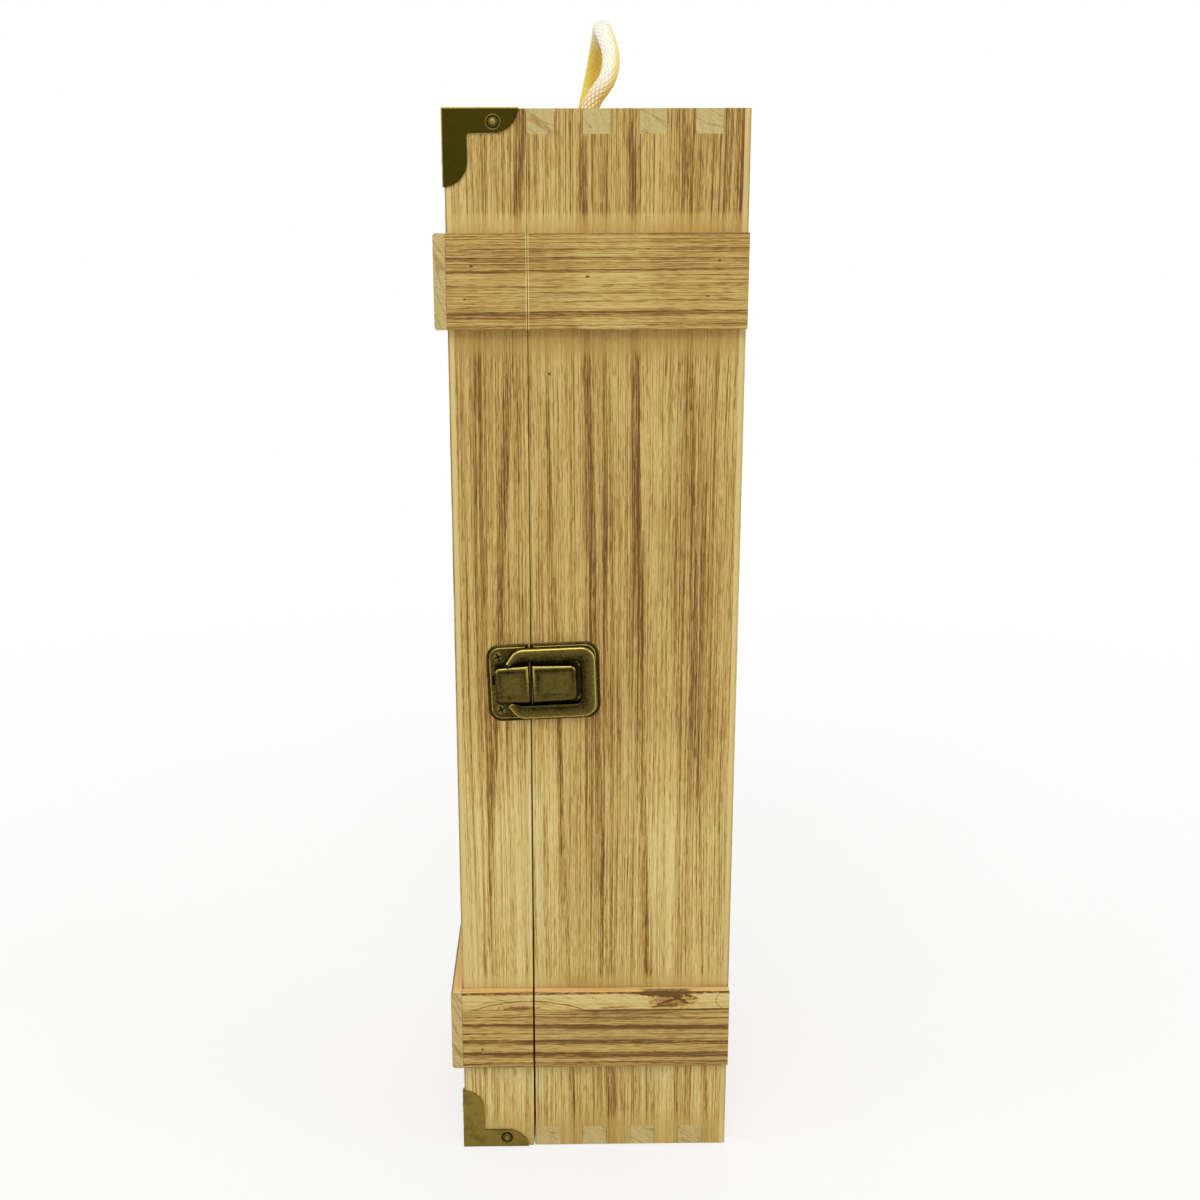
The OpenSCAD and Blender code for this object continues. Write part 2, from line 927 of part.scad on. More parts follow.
// The rope's two ends: the piece in each hole, the knot that seats under the top board, and its tail
module rope_ends() {
    seat_z = case_h - wall_t;
    color(rope_cream)
        for (side = [-1, 1])
            translate([handle_x, side * rope_hole_pitch / 2, seat_z]) {
                cylinder(d = rope_d, h = wall_t);
                intersection() {
                    translate([0, 0, -knot_seat * knot_d / 2])
                        sphere(d = knot_d);
                    translate([-knot_d, -knot_d, -2 * knot_d])
                        cube(2 * knot_d);
                }
                translate([0, 0, -knot_d - rope_tail + tail_root])
                    cylinder(d = rope_d, h = rope_tail);
            }
}

tray_side_near();
tray_side_far();
tray_end_top();
tray_end_bottom();
tray_back_panel();
lid_side_near();
lid_side_far();
lid_end_top();
lid_end_bottom();
lid_front_panel();
tray_batten_near_lower();
tray_batten_near_upper();
tray_batten_far_lower();
tray_batten_far_upper();
lid_batten_near_lower();
lid_batten_near_upper();
lid_batten_far_lower();
lid_batten_far_upper();
front_batten_lower();
front_batten_upper();
bracket_near_bottom();
bracket_near_top();
bracket_far_bottom();
bracket_far_top();
bracket_nails();
hinge_lower_tray_leaf();
hinge_lower_lid_leaf();
hinge_lower_pin();
hinge_upper_tray_leaf();
hinge_upper_lid_leaf();
hinge_upper_pin();
hinge_tray_screws();
hinge_lid_screws();
latch_lid_plate();
latch_ring();
latch_catch_plate();
latch_lid_screws();
latch_catch_screws();
rope_loop();
rope_ends();
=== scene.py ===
"""Dresses the wooden wine box: torched wood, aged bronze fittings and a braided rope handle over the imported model."""
import json
import math

import bmesh
import bpy
from mathutils import Matrix, Vector

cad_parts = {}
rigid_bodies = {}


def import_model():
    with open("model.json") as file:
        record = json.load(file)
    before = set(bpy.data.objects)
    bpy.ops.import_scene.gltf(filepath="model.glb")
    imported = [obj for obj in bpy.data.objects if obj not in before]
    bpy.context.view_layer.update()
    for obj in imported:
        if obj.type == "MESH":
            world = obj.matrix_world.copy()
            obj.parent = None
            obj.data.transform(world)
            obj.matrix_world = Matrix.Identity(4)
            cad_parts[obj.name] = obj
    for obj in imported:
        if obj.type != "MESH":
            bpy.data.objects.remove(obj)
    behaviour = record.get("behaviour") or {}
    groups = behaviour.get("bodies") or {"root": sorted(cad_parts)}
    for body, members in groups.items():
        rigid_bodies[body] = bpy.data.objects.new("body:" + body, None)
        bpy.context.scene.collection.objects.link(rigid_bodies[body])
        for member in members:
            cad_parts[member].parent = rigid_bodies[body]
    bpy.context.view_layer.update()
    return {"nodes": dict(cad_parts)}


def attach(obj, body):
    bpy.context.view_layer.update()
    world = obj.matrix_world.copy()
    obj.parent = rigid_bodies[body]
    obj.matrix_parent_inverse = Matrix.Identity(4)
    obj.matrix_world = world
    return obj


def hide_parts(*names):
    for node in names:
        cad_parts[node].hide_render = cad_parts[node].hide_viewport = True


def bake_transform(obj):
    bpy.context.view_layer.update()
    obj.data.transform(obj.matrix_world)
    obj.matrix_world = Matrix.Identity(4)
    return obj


bl_info = {
    "name": "Wooden wine box",
    "version": (1, 0, 0),
    "blender": (4, 5, 0),
    "location": "3D View > Sidebar > Wine Box",
    "description": "Builds the torched wood, bronze fittings and rope handle of a wooden wine box",
    "category": "Mesh",
}

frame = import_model()

# Millimetres, as in the part's source
MM = 0.001
CASE_W = 105
CASE_D = 95
CASE_H = 360
SAW_CUT = 0.5
SEAM_X = -22
UPPER_BATTEN = (293.4, 322.9)
LOWER_BATTEN = (34.0, 63.5)
BATTEN_FACE = 56.1
LATCH_Z = 177
LATCH_TILT = 2.2
PLATE_T = 0.8
PLATE_H = 26.8
BRACKET_T = 0.6
BRACKET_LOW = 1.0  # how much lower the foot brackets sit round the corner
BRACKET_PRESSED = 0.55  # how much of a top leg's thickness stands out of the wood


def linear(red, green, blue):
    """A colour as a screen shows it, from 0 to 255, in the linear values that materials use."""
    shares = [c / 255 for c in (red, green, blue)]
    return tuple(c / 12.92 if c <= 0.04045 else ((c + 0.055) / 1.055) ** 2.4 for c in shares)


def colour_property(name, description, red, green, blue):
    return bpy.props.FloatVectorProperty(
        name=name, description=description, subtype="COLOR", size=3, min=0, max=1, default=linear(red, green, blue)
    )


def length_property(name, description, default, low, high):
    """A length, given in millimetres and kept in metres."""
    return bpy.props.FloatProperty(
        name=name, description=description, subtype="DISTANCE", unit="LENGTH",
        default=default * MM, min=low * MM, max=high * MM,
    )


def power_property(name, description, default):
    return bpy.props.FloatProperty(
        name=name, description=description, subtype="POWER", unit="POWER", default=default, min=0, max=200
    )


# ---- What a user would change ----


class WineBoxWood(bpy.types.PropertyGroup):
    pale: colour_property("Pale wood", "Soft pale wood between the growth lines", 212, 193, 128)
    golden: colour_property("Golden wood", "Wood that the torch has warmed", 188, 157, 86)
    brown: colour_property("Brown grain", "Growth lines that the torch has browned", 146, 107, 46)
    char: colour_property("Charred grain", "The darkest, charred lines", 102, 69, 27)
    raw: colour_property("Raw wood", "Wood inside the box and at the saw cut", 206, 187, 124)
    ends: colour_property("End grain", "Cut ends of the boards", 189, 169, 110)
    arris: length_property("Outer edge", "How far the box's outer edges are rounded", 0.3, 0, 1)
    relief: length_property("Grain relief", "Depth of the brushed grain", 0.12, 0, 0.5)


class WineBoxMetal(bpy.types.PropertyGroup):
    bronze: colour_property("Aged bronze", "The fittings' broad faces", 84, 73, 33)
    dark: colour_property("Dark bronze", "Stains and sheltered places", 42, 36, 14)
    # also the colour of the painted highlights along the fittings' edges
    worn_and_highlight: colour_property("Worn bronze", "Rubbed edges and high places", 140, 121, 58)
    edge: length_property("Edge", "Width of the rubbed edges", 0.1, 0.02, 0.3)


class WineBoxRope(bpy.types.PropertyGroup):
    cream: colour_property("Cream", "The braid's high places", 255, 252, 234)
    # painted shade: amber also paints the shade on the rope's far leg and tray side
    amber: colour_property("Amber", "The braid's hollows and its yellowed leg", 255, 222, 98)
    diameter: length_property("Diameter", "Thickness of the rope", 5.85, 5, 6.4)
    plait: length_property("Plait", "Length of one diamond of the braid", 2.6, 1.5, 5)


class WineBoxStage(bpy.types.PropertyGroup):
    floor: colour_property("Floor", "The floor's own colour", 245, 245, 243)
    world: bpy.props.FloatProperty(
        name="Ambient", description="Light from all round", default=0.62, min=0, max=2
    )
    key: power_property("Key lamp", "Power of the large lamp above the camera", 17)
    side: power_property("Side lamps", "Power of the lamps left, right and behind", 5)


# ---- Shader nodes ----


class Value:
    """What a shader node gives. Arithmetic with it adds a node."""

    def __init__(self, nodes, socket):
        self.nodes = nodes
        self.socket = socket

    def __add__(self, other):
        return self.nodes.calc("ADD", self, other)

    def __radd__(self, other):
        return self.nodes.calc("ADD", other, self)

    def __sub__(self, other):
        return self.nodes.calc("SUBTRACT", self, other)

    def __rsub__(self, other):
        return self.nodes.calc("SUBTRACT", other, self)

    def __mul__(self, other):
        return self.nodes.calc("MULTIPLY", self, other)

    def __rmul__(self, other):
        return self.nodes.calc("MULTIPLY", other, self)

    def __abs__(self):
        return self.nodes.calc("ABSOLUTE", self)


class Nodes:
    """Short names for the shader nodes of a world or a material."""

    def __init__(self, owner):
        owner.use_nodes = True
        self.tree = owner.node_tree
        self.tree.nodes.clear()

    def add(self, kind, *inputs, **settings):
        """A node with these settings, and these values in its first inputs."""
        node = self.tree.nodes.new(kind)
        for key, value in settings.items():
            setattr(node, key, value)
        for socket, value in zip(node.inputs, inputs):
            self.put(socket, value)
        return node

    def put(self, socket, value):
        """Links a value to a socket, or sets the socket to a plain number or colour."""
        value = getattr(value, "socket", value)
        if isinstance(value, bpy.types.NodeSocket):
            self.tree.links.new(value, socket)
        elif socket.type == "RGBA":
            socket.default_value = (*value[:3], 1)
        else:
            socket.default_value = value

    def calc(self, operation, *values, clamp=False):
        return Value(self, self.add("ShaderNodeMath", *values, operation=operation, use_clamp=clamp).outputs[0])

    def attribute(self, name):
        """A number that the mesh carries at each vertex."""
        return Value(self, self.add("ShaderNodeAttribute", attribute_name=name).outputs["Fac"])

    def place(self):
        """The point on the object, in millimetres, as (x, y, z)."""
        where = self.add("ShaderNodeTexCoord").outputs["Object"]
        grow = self.add("ShaderNodeVectorMath", where, operation="SCALE")
        grow.inputs["Scale"].default_value = 1 / MM
        return [Value(self, axis) for axis in self.add("ShaderNodeSeparateXYZ", grow.outputs[0]).outputs]

    def noise(self, u, v, w, detail=2, rough=0.5, fit=1.0):
        """Noise about 0 at (u, v, w), mostly within half of fit."""
        spot = self.add("ShaderNodeCombineXYZ", u, v, w).outputs[0]
        node = self.add("ShaderNodeTexNoise", spot, noise_dimensions="3D")
        for name, value in (("Scale", 1), ("Detail", detail), ("Roughness", rough)):
            node.inputs[name].default_value = value
        return (Value(self, node.outputs[0]) - 0.5) * fit

    def step(self, value, start, end, low=0.0, high=1.0):
        """A smooth step from low to high as value goes from start to end."""
        node = self.add("ShaderNodeMapRange", value, start, end, low, high, interpolation_type="SMOOTHSTEP")
        return Value(self, node.outputs[0])

    def within(self, value, low, high, soft):
        """1 where value is between low and high, fading out over soft."""
        return self.step(value, low - soft, low) * self.step(value, high + soft, high)

    def mix(self, share, a, b):
        """Two numbers or colours mixed: a where share is 0, b where it is 1."""
        node = self.add("ShaderNodeMix", share, data_type="RGBA")
        self.put(node.inputs[6], a)
        self.put(node.inputs[7], b)
        return Value(self, node.outputs[2])

    def ramp(self, value, stops):
        node = self.add("ShaderNodeValToRGB", value)
        marks = node.color_ramp.elements
        while len(marks) < len(stops):
            marks.new(0.5)
        for mark, (at, colour) in zip(marks, stops):
            mark.position = at
            mark.color = (*colour, 1)
        return Value(self, node.outputs[0])


class Shade(Nodes):
    """A material and its shader nodes."""

    def __init__(self, name):
        self.material = bpy.data.materials.new(name)
        super().__init__(self.material)
        self.shader = self.add("ShaderNodeBsdfPrincipled")
        self.output = self.add("ShaderNodeOutputMaterial", self.shader.outputs[0])

    def finish(self, colour, roughness, height=None, relief=0.0, metallic=0.0, specular=0.5):
        """The material, with this surface. height is in shares of relief, which is in metres."""
        names = ("Base Color", "Roughness", "Metallic", "Specular IOR Level")
        for name, value in zip(names, (colour, roughness, metallic, specular)):
            self.put(self.shader.inputs[name], value)
        if height is not None:
            bump = self.add("ShaderNodeBump")
            bump.inputs["Distance"].default_value = relief
            self.put(bump.inputs["Height"], height)
            self.put(self.shader.inputs["Normal"], bump.outputs[0])
        return self.material


# ---- Meshes ----


def collection():
    """The collection that every new piece goes in."""
    name = "Wine box"
    if name not in bpy.data.collections:
        bpy.context.scene.collection.children.link(bpy.data.collections.new(name))
    return bpy.data.collections[name]


def node_copy(node):
    """A CAD node's mesh as a closed bmesh in millimetres, its flat faces joined."""
    bm = bmesh.new()
    bm.from_mesh(frame["nodes"][node].data)
    bmesh.ops.remove_doubles(bm, verts=bm.verts, dist=0.002 * MM)
    bmesh.ops.scale(bm, vec=Vector((1, 1, 1)) / MM, verts=bm.verts)
    bmesh.ops.dissolve_limit(bm, angle_limit=math.radians(0.5), verts=bm.verts, edges=bm.edges)
    return bm


def piece(name, bm, materials, body=None, nodes=(), slot=None, smooth=35):
    """Makes a bmesh in millimetres a finished object, which rides on body and stands for CAD nodes."""
    bmesh.ops.scale(bm, vec=Vector((1, 1, 1)) * MM, verts=bm.verts)
    mesh = bpy.data.meshes.new(name)
    bm.to_mesh(mesh)
    bm.free()
    for material in materials:
        mesh.materials.append(material)
    mesh.shade_smooth()
    mesh.set_sharp_from_angle(angle=math.radians(smooth))
    obj = bpy.data.objects.new(name, mesh)
    collection().objects.link(obj)
    if body:
        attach(obj, body)
    if nodes:
        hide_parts(*nodes)
    return obj


def solid(create, scale, turn, spot, **facts):
    """A shape of bmesh.ops, scaled, turned by an angle about an axis and moved to spot."""
    bm = bmesh.new()
    create(bm, **facts)
    bmesh.ops.scale(bm, vec=scale, verts=bm.verts)
    bmesh.ops.rotate(bm, matrix=Matrix.Rotation(turn[0], 3, turn[1]), verts=bm.verts)
    bmesh.ops.translate(bm, vec=spot, verts=bm.verts)
    return bm


def split(bm, parts, cuts):
    """Cuts parts of a mesh along planes, each a point and a normal, and gives what the parts have become."""
    for spot, normal in cuts:
        parts = bmesh.ops.bisect_plane(bm, geom=parts, dist=1e-4, plane_co=spot, plane_no=normal)["geom"]
    return parts


def keep_flat(obj):
    """Shades flat faces flat right up to their rounded edges."""
    flat = obj.modifiers.new("Flat faces", "WEIGHTED_NORMAL")
    flat.keep_sharp = True


def vertex_layer(bm, name):
    """The layer in which a mesh carries a number at each vertex, which materials read by this name."""
    return bm.verts.layers.float.get(name) or bm.verts.layers.float.new(name)


def clamped(value):
    return max(0.0, min(1.0, value))


def body_of(node):
    return frame["nodes"][node].parent.name.removeprefix("body:")


def arrises(bm, angle, shortest):
    """The edges longer than shortest at which the surface turns outwards by more than angle."""
    found = []
    for edge in bm.edges:
        if len(edge.link_faces) != 2 or edge.calc_length() < shortest:
            continue
        if edge.calc_face_angle_signed(0) > math.radians(angle):
            found.append(edge)
    return found


# ---- Wood ----

AXES = {"X": 0, "Y": 1, "Z": 2}


class Grain:
    """How the grain lies in a board, and the marks that show on it. Lengths are in millimetres.

    axes names the directions across, through and along the grain.
    """

    shift = (0, 0, 0)  # which wood of the endless block this board is cut from
    lines = 0.6  # from one growth line to the next
    wander = 5.0  # how far the lines stray sideways
    level = 0.47  # how dark the board is on the whole
    contrast = 1.0
    middle = 180.0  # where along the grain the bands' places are given
    bands = ()  # (across, slope, curve, half width, strength, from, to): dark bands
    fades = ()  # (from, to, softness): stretches where the grain fades
    tones = ()  # (low corner, high corner, softness, amount): paler or darker patches
    pits = ()  # (along, across, width, height): small dark holes
    torched = ()  # (axis, distance from the middle): the wood is torched beyond it
    ends = ()  # (axis, distance from the middle): the wood is end grain beyond it
    painted_lit_tops = ()  # (height, from, to): upper faces painted bright amber, a painted highlight of the light from above, and scorched from x to x
    extra = None  # a function that draws what only this board has
    plies = False  # whether the board's edge shows plies

    def __init__(self, axes, **facts):
        self.axes = axes
        vars(self).update(facts)


def beyond(n, at, limits, soft):
    """1 where the point is past one of the limits, (axis, distance from the box's middle), else 0."""
    past = 0.0
    for axis, start in limits:
        value = abs(at[AXES[axis]] - (CASE_H / 2 if axis == "Z" else 0))
        past = n.calc("MAXIMUM", past, n.step(value, start - soft, start))
    return past


def dark_bands(n, grain, u, w):
    """How dark each of the grain's bands is here: sharp on one side, and ragged."""
    bands = []
    for start, slope, curve, half, strength, low, high in grain.bands:
        t = w - grain.middle
        centre = t * (t * curve + slope) + start
        edge = n.noise(w * 0.16, u * 0.5, start, 3, 0.6, 1.5)
        off = u - centre + edge * 0.7
        shape = n.step(off, -half * 2.6, half * 0.2) * n.step(off, half * 1.3, half * 0.7)
        bands.append(shape * strength * n.within(w, low, high, 14))
    return bands


def top_with_painted_light(n, at, face, colour, figure, fibre, speckle, char):
    """The colour of a batten's upper face, painted bright amber as a painted highlight where the light from above falls
    on it, above its charred front arris.
    """
    top, scorch_from, scorch_to = face
    rim = n.within(at[2] + speckle * 0.3, top - 0.5, top, 0.1)
    colour = n.mix(rim * (fibre * 1.6 + 0.4), colour, char)
    # painted highlight: the upper face is painted amber, as if lit from above
    above = n.within(at[2] + speckle * 0.06, top - 0.03, top + 1, 0.03)
    amber = n.mix(n.step(figure, -0.05, 0.3), linear(230, 190, 122), linear(158, 108, 52))
    if scorch_to > scorch_from:
        front = n.step(abs(at[1] + speckle * 5.0), BATTEN_FACE - 2.5, BATTEN_FACE - 0.9)
        scorched = n.within(at[0], scorch_from, scorch_to, 3.5) * front * (fibre * 2.0 + 0.8)
        amber = n.mix(scorched, amber, linear(58, 40, 22))
    return n.mix(above, colour, amber)


def ply_edges(n, x, fibre, core):
    """The colour of a plywood panel inside its face: the core, a line of glue and the veneer."""
    glue_x = CASE_D / 2 - 0.6
    veneer = n.mix(n.step(x, -1, 1), linear(132, 104, 54), linear(200, 168, 84))
    ragged = abs(x) + fibre * 0.25
    colour = n.mix(n.step(ragged, glue_x + 0.05, glue_x + 0.2), core, veneer)
    glue = n.step(ragged, glue_x - 0.2, glue_x - 0.05) * n.step(ragged, glue_x + 0.15, glue_x)
    return n.mix(glue * 0.25, colour, linear(150, 120, 66))


def end_grain(n, u, v, w, wood):
    """The colour of a cut end: pores, growth rings and a few lines of late wood."""
    dots = n.noise(u * 1.9, v * 1.9, w * 1.9, 2, 0.7)
    rings = n.noise((u + v * 0.3) * 0.7, v * 0.06, 0.0)
    late = n.noise((u + v * 1.6) * 0.13, v * 0.05, 0.0, 1, 0.5)
    late_line = n.step(abs(late), 0.022, 0.004, 0, 0.45)
    tone = dots * 0.7 + rings * 0.5 + late_line * 0.7 + 0.36
    return n.ramp(tone, [(0, linear(206, 191, 134)), (0.4, wood.ends), (0.9, wood.brown)])


def torched_wood(name, grain, wood):
    """Brushed and torched wood, whose dark growth lines run along the grain."""
    n = Shade(name)
    at = n.place()
    u0, v0, w0 = (at[AXES[a]] for a in grain.axes)
    u, v, w = (value + by for value, by in zip((u0, v0, w0), grain.shift))
    # the whole figure leans and wanders slowly, each line wavers a little more
    drift = n.noise(u * 0.022, v * 0.03, w * 0.0045, 1, 0.4, grain.wander)
    waver = n.noise(u * 0.25, v * 0.2, w * 0.03, 2, 0.5, 0.9)
    bent = u + drift + waver
    fine = 1 / grain.lines
    zones = n.noise(bent * (fine * 0.1), v * 0.05, w * 0.004)
    lines = n.noise(bent * (fine * 1.2), v * 0.16, w * 0.004, 1, 0.5)
    hairs = n.noise(bent * (fine * 2.1), v, w * 0.02, 1, 0.6)
    pores = n.noise(bent * 4.0, v * 2.2, w * 0.26, 0, 0.5)
    fibre = n.noise(bent * 5.5, v * 4.0, w * 0.45, 2, 0.65)
    speckle = n.noise(u * 3.1, v * 3.1, w * 1.1, 2, 0.6)
    cloud = n.noise(u * 0.04, v * 0.03, w * 0.014)
    # brushing leaves dark lines thin and pale ones wide, and they crowd where the wood is dark
    crowd = zones * 0.3 + cloud * 0.12
    dark_lines = n.step(lines + crowd, 0.0, 0.12)
    dark_hairs = n.step(hairs + crowd, 0.0, 0.12)
    dark_pores = n.step(pores + crowd * 0.6, 0.03, 0.16)
    streaks = dark_lines * 0.3 + dark_hairs * 0.34 + dark_pores * 0.26 + zones * 0.06
    bands = dark_bands(n, grain, u0, w0)
    if bands:
        grit = n.calc("ADD", speckle * 1.2 + hairs * 3.2 + pores * 1.2, 1.0, clamp=True)
        streaks = streaks + sum(bands[1:], bands[0]) * grit
    level = cloud * 0.3 + fibre * 0.3 + grain.level
    for low_corner, high_corner, soft, amount in grain.tones:
        spot = amount
        for value, low, high, fade in zip((u0, w0), low_corner, high_corner, soft):
            spot = spot * n.within(value, low, high, fade)
        level = level + spot
    keep = 1.0
    for low, high, soft in grain.fades:
        keep = keep * (1.0 - 0.7 * n.within(w0, low, high, soft))
    burn = level + (streaks - 0.24) * (grain.contrast * 0.9) * keep
    for along, across, long, tall in grain.pits:
        du = (w0 - along) * (1 / long)
        dw = (u0 - across) * (1 / tall)
        burn = burn + n.step(du * du + dw * dw, 1.3, 0.4, 0, 0.7)
    if grain.extra:
        burn = grain.extra(n, u0, w0, burn, fibre)
    colour = n.ramp(burn, [(0.0, wood.pale), (0.36, wood.golden), (0.72, wood.brown), (1.0, wood.char)])
    # a little of the greenish grey of weathered wood, in long patches
    grey = n.noise(u * 0.12, v * 0.1, w * 0.014)
    weathered = n.mix(burn, linear(200, 188, 132), linear(112, 90, 48))
    colour = n.mix(n.step(grey, 0.02, 0.25, 0, 0.22), colour, weathered)
    # painted highlight on the battens' upper faces
    for face in grain.painted_lit_tops:
        colour = top_with_painted_light(n, at, face, colour, hairs + lines, fibre, speckle, wood.char)
    inside = n.mix(dark_lines * 0.2 + zones * 0.6 + fibre * 0.6 + 0.15, wood.raw, wood.golden)
    if grain.plies:
        inside = ply_edges(n, at[0], fibre, inside)
    colour = n.mix(beyond(n, at, grain.torched, 0.5), inside, colour)
    if grain.ends:
        colour = n.mix(beyond(n, at, grain.ends, 0.08) * 0.88, colour, end_grain(n, u, v, w, wood))
    height = fibre * 0.5 - (dark_lines + dark_hairs + dark_pores) * 0.3
    return n.finish(colour, fibre * 0.2 + 0.6, height, wood.relief, specular=0.25)


# The near wall's bands: across at mid height, slope, curve, half width, strength, from and to height
WALL_BANDS = [
    (-33.4, 0.0508, 4.7e-5, 1.1, 0.5, 142, 400),
    (-33.4, 0.0508, 4.7e-5, 1.0, 0.3, -20, 126),
    (-13.3, -0.0324, -7e-6, 0.9, 0.42, -20, 262),
    (-0.2, -0.03, 2.2e-5, 1.2, 0.42, -20, 345),
    (15.1, -0.0256, 0, 1.1, 0.48, 55, 350),
    (33.6, -0.0361, 2.4e-5, 0.8, 0.38, -20, 345),
    (-17.4, 0.002, 0, 0.6, 0.35, -20, 125),
    (19.4, 0.0015, 0, 0.6, 0.35, -20, 70),
    (43.6, 0.0035, 0, 0.8, 0.4, 322, 400),
]
WALL_FADES = [(288, 325, 6), (55, 65.5, 5), (-10, 7, 9)]
WALL_TONES = [
    ((22, 318), (60, 400), (6, 6), 0.03),
    ((-60, 318), (18, 400), (6, 6), -0.04),
    ((-60, 40), (-22, 116), (18, 60), -0.4),
    ((6, 40), (60, 116), (14, 60), -0.25),
    ((-60, 322), (60, 328), (2, 2), -0.14),
]


# Dark blots round the knot: along, across, half length, half height, amount, lean
KNOT_BLOTS = [
    (-27, 57.4, 7, 0.9, 0.7, 0),
    (27, 60.2, 8, 3.0, 0.5, 0),
    (22.5, 62.3, 9, 0.8, 0.9, -0.07),
    (29.5, 60.6, 3.2, 0.7, 0.8, -0.45),
    (25.5, 59.6, 3.4, 0.6, 0.6, 0.3),
    (33.5, 61.6, 3.5, 0.5, 0.6, -0.3),
    (24.5, 58.0, 5.0, 0.5, 0.45, 0.1),
    (6.0, 57.4, 5.0, 0.4, 0.4, 0.05),
]


def knotty_strip(n, u, w, burn, fibre):
    """The pale strip along the lower side batten's top: an arc of grain, the dark under it, and a knot."""
    strip = n.step(u, 56.6, 57.1)
    slant = n.noise((u + w * 0.3) * 1.7, 0.0, w * 0.07, 2, 0.6)
    ragged = n.noise(u * 1.1, 4.0, w * 0.5, 3, 0.65)
    pale = burn * 0.45 + fibre * 0.4 + n.step(slant, 0.03, 0.16, 0, 0.28) - 0.14
    arc_off = (w + 24.0) * (w + 24.0) * -0.0086
    for rise, strength in ((60.1, 0.55), (59.0, 0.2), (61.3, 0.18)):
        arc = abs(u - (arc_off + rise + fibre))
        pale = pale + n.step(arc, 0.5, 0.05, 0, strength) * n.within(w, -43, -4, 4)

    def blot(along, across, long, tall, amount, lean):
        off = w - along
        du = off * (1 / long)
        dw = (u - (across + off * lean)) * (1 / tall)
        return n.step(du * du + dw * dw + ragged * 4.0, 1.4, 0.4, 0, amount)

    for mark in KNOT_BLOTS:
        pale = pale + blot(*mark)
    bow = abs(w - (42.6 + (u - 60.0) * (u - 60.0) * 0.22))
    pale = pale + n.step(bow, 0.6, 0.1, 0, 0.35)
    burn = n.mix(strip, burn, pale)
    joint = abs(u - (56.4 + fibre * 0.8))
    burn = burn + n.step(joint, 0.55, 0.1, 0, 0.5) * n.step(w, -14, -2)
    rim = n.step(u, 62.4, 62.8, 0, 1.0) + n.step(u, 61.8, 63.0, 0, 0.8) * n.within(w, 18, 36, 3)
    return burn + rim * (ragged * 3.0 + 0.65)


def board_edges(bm):
    """Marks the edges of a board that a hand would have sanded, for its Bevel modifier."""
    layer = bm.edges.layers.float.new("bevel_weight_edge")
    planes = [(0, CASE_D / 2), (1, CASE_W / 2), (1, BATTEN_FACE), (2, 0.0), (2, float(CASE_H))]
    planes += [(2, z) for z in (*UPPER_BATTEN, *LOWER_BATTEN)]
    for edge in arrises(bm, 60, 2.0):
        a, b = (v.co for v in edge.verts)
        on = 0
        for axis, value in planes:
            if all(abs((abs(p[axis]) if axis < 2 else p[axis]) - value) < 0.02 for p in (a, b)):
                on += 1
        at_seam = all(abs(p.x - SEAM_X) < 0.5 for p in (a, b))
        if on >= 2:
            edge[layer] = 1.0
        elif at_seam:
            edge[layer] = 0.35


def ease_seam(bm):
    """Makes the saw cut wider at the foot than at the top, as the real one is, and close inwards, so it is dark."""
    if max(v.co.z for v in bm.verts) - min(v.co.z for v in bm.verts) < 15:
        # end boards: the cut closes just under their ends
        at_ends = [((0, side * (CASE_W / 2 - 1.2), 0), (0, 1, 0)) for side in (-1, 1)]
        split(bm, bm.verts[:] + bm.edges[:] + bm.faces[:], at_ends)
    for v in bm.verts:
        outside = abs(v.co.y) > CASE_W / 2 - 0.1 or v.co.z > CASE_H - 0.1
        half = 0.05 + 0.33 * (1 - v.co.z / CASE_H) if outside else 0.015
        for side in (-1, 1):
            if abs(v.co.x - SEAM_X - side * SAW_CUT / 2) < 0.02:
                v.co.x = SEAM_X + side * half


def board(node, material, wood, slot="board"):
    bm = node_copy(node)
    ease_seam(bm)
    board_edges(bm)
    made = piece("wood_" + node, bm, [material], body_of(node), [node], slot)
    soften = made.modifiers.new("Sanded edges", "BEVEL")
    soften.limit_method = "WEIGHT"
    soften.width = wood.arris
    soften.segments = 3
    soften.use_clamp_overlap = True
    keep_flat(made)
    return made


class WINEBOX_OT_case(bpy.types.Operator):
    """Side walls and end boards of the tray and the lid"""

    bl_idname = "winebox.case"
    bl_label = "Case walls and ends"

    def execute(self, context):
        wood = context.scene.wine_box_wood
        face = [("Y", CASE_W / 2 - 0.1), ("Z", CASE_H / 2 - 0.1)]
        cut = [("Z", CASE_H / 2 - 0.05)]
        near = torched_wood("Torched near wall", Grain(
            "XYZ", bands=WALL_BANDS, fades=WALL_FADES, torched=face, ends=cut,
            tones=WALL_TONES,
            pits=[(279.5, -15.2, 0.5, 0.5)],
        ), wood)
        far = torched_wood("Torched far wall", Grain(
            "XYZ", shift=(37, 60, 90), fades=WALL_FADES, torched=face, ends=cut,
            bands=[
                (-30.5, 0.02, 0, 1.2, 0.45, -20, 400), (4.5, -0.03, 3e-5, 1.4, 0.5, -20, 400),
                (27.0, 0.015, 0, 1.0, 0.45, -20, 400),
            ],
        ), wood)
        ends = torched_wood("Torched end boards", Grain(
            "XZY", shift=(11, 5, 40), level=0.3, torched=face, ends=[("Y", CASE_W / 2 - 0.05)], middle=0.0,
            bands=[(12.0, 0.03, 0, 1.2, 0.4, -60, 60), (-33.0, -0.02, 0, 0.9, 0.4, -60, 60)],
        ), wood)
        for part in ("tray", "lid"):
            for place, material in (("side_near", near), ("side_far", far), ("end_top", ends), ("end_bottom", ends)):
                board(f"{part}_{place}", material, wood)
        return {"FINISHED"}


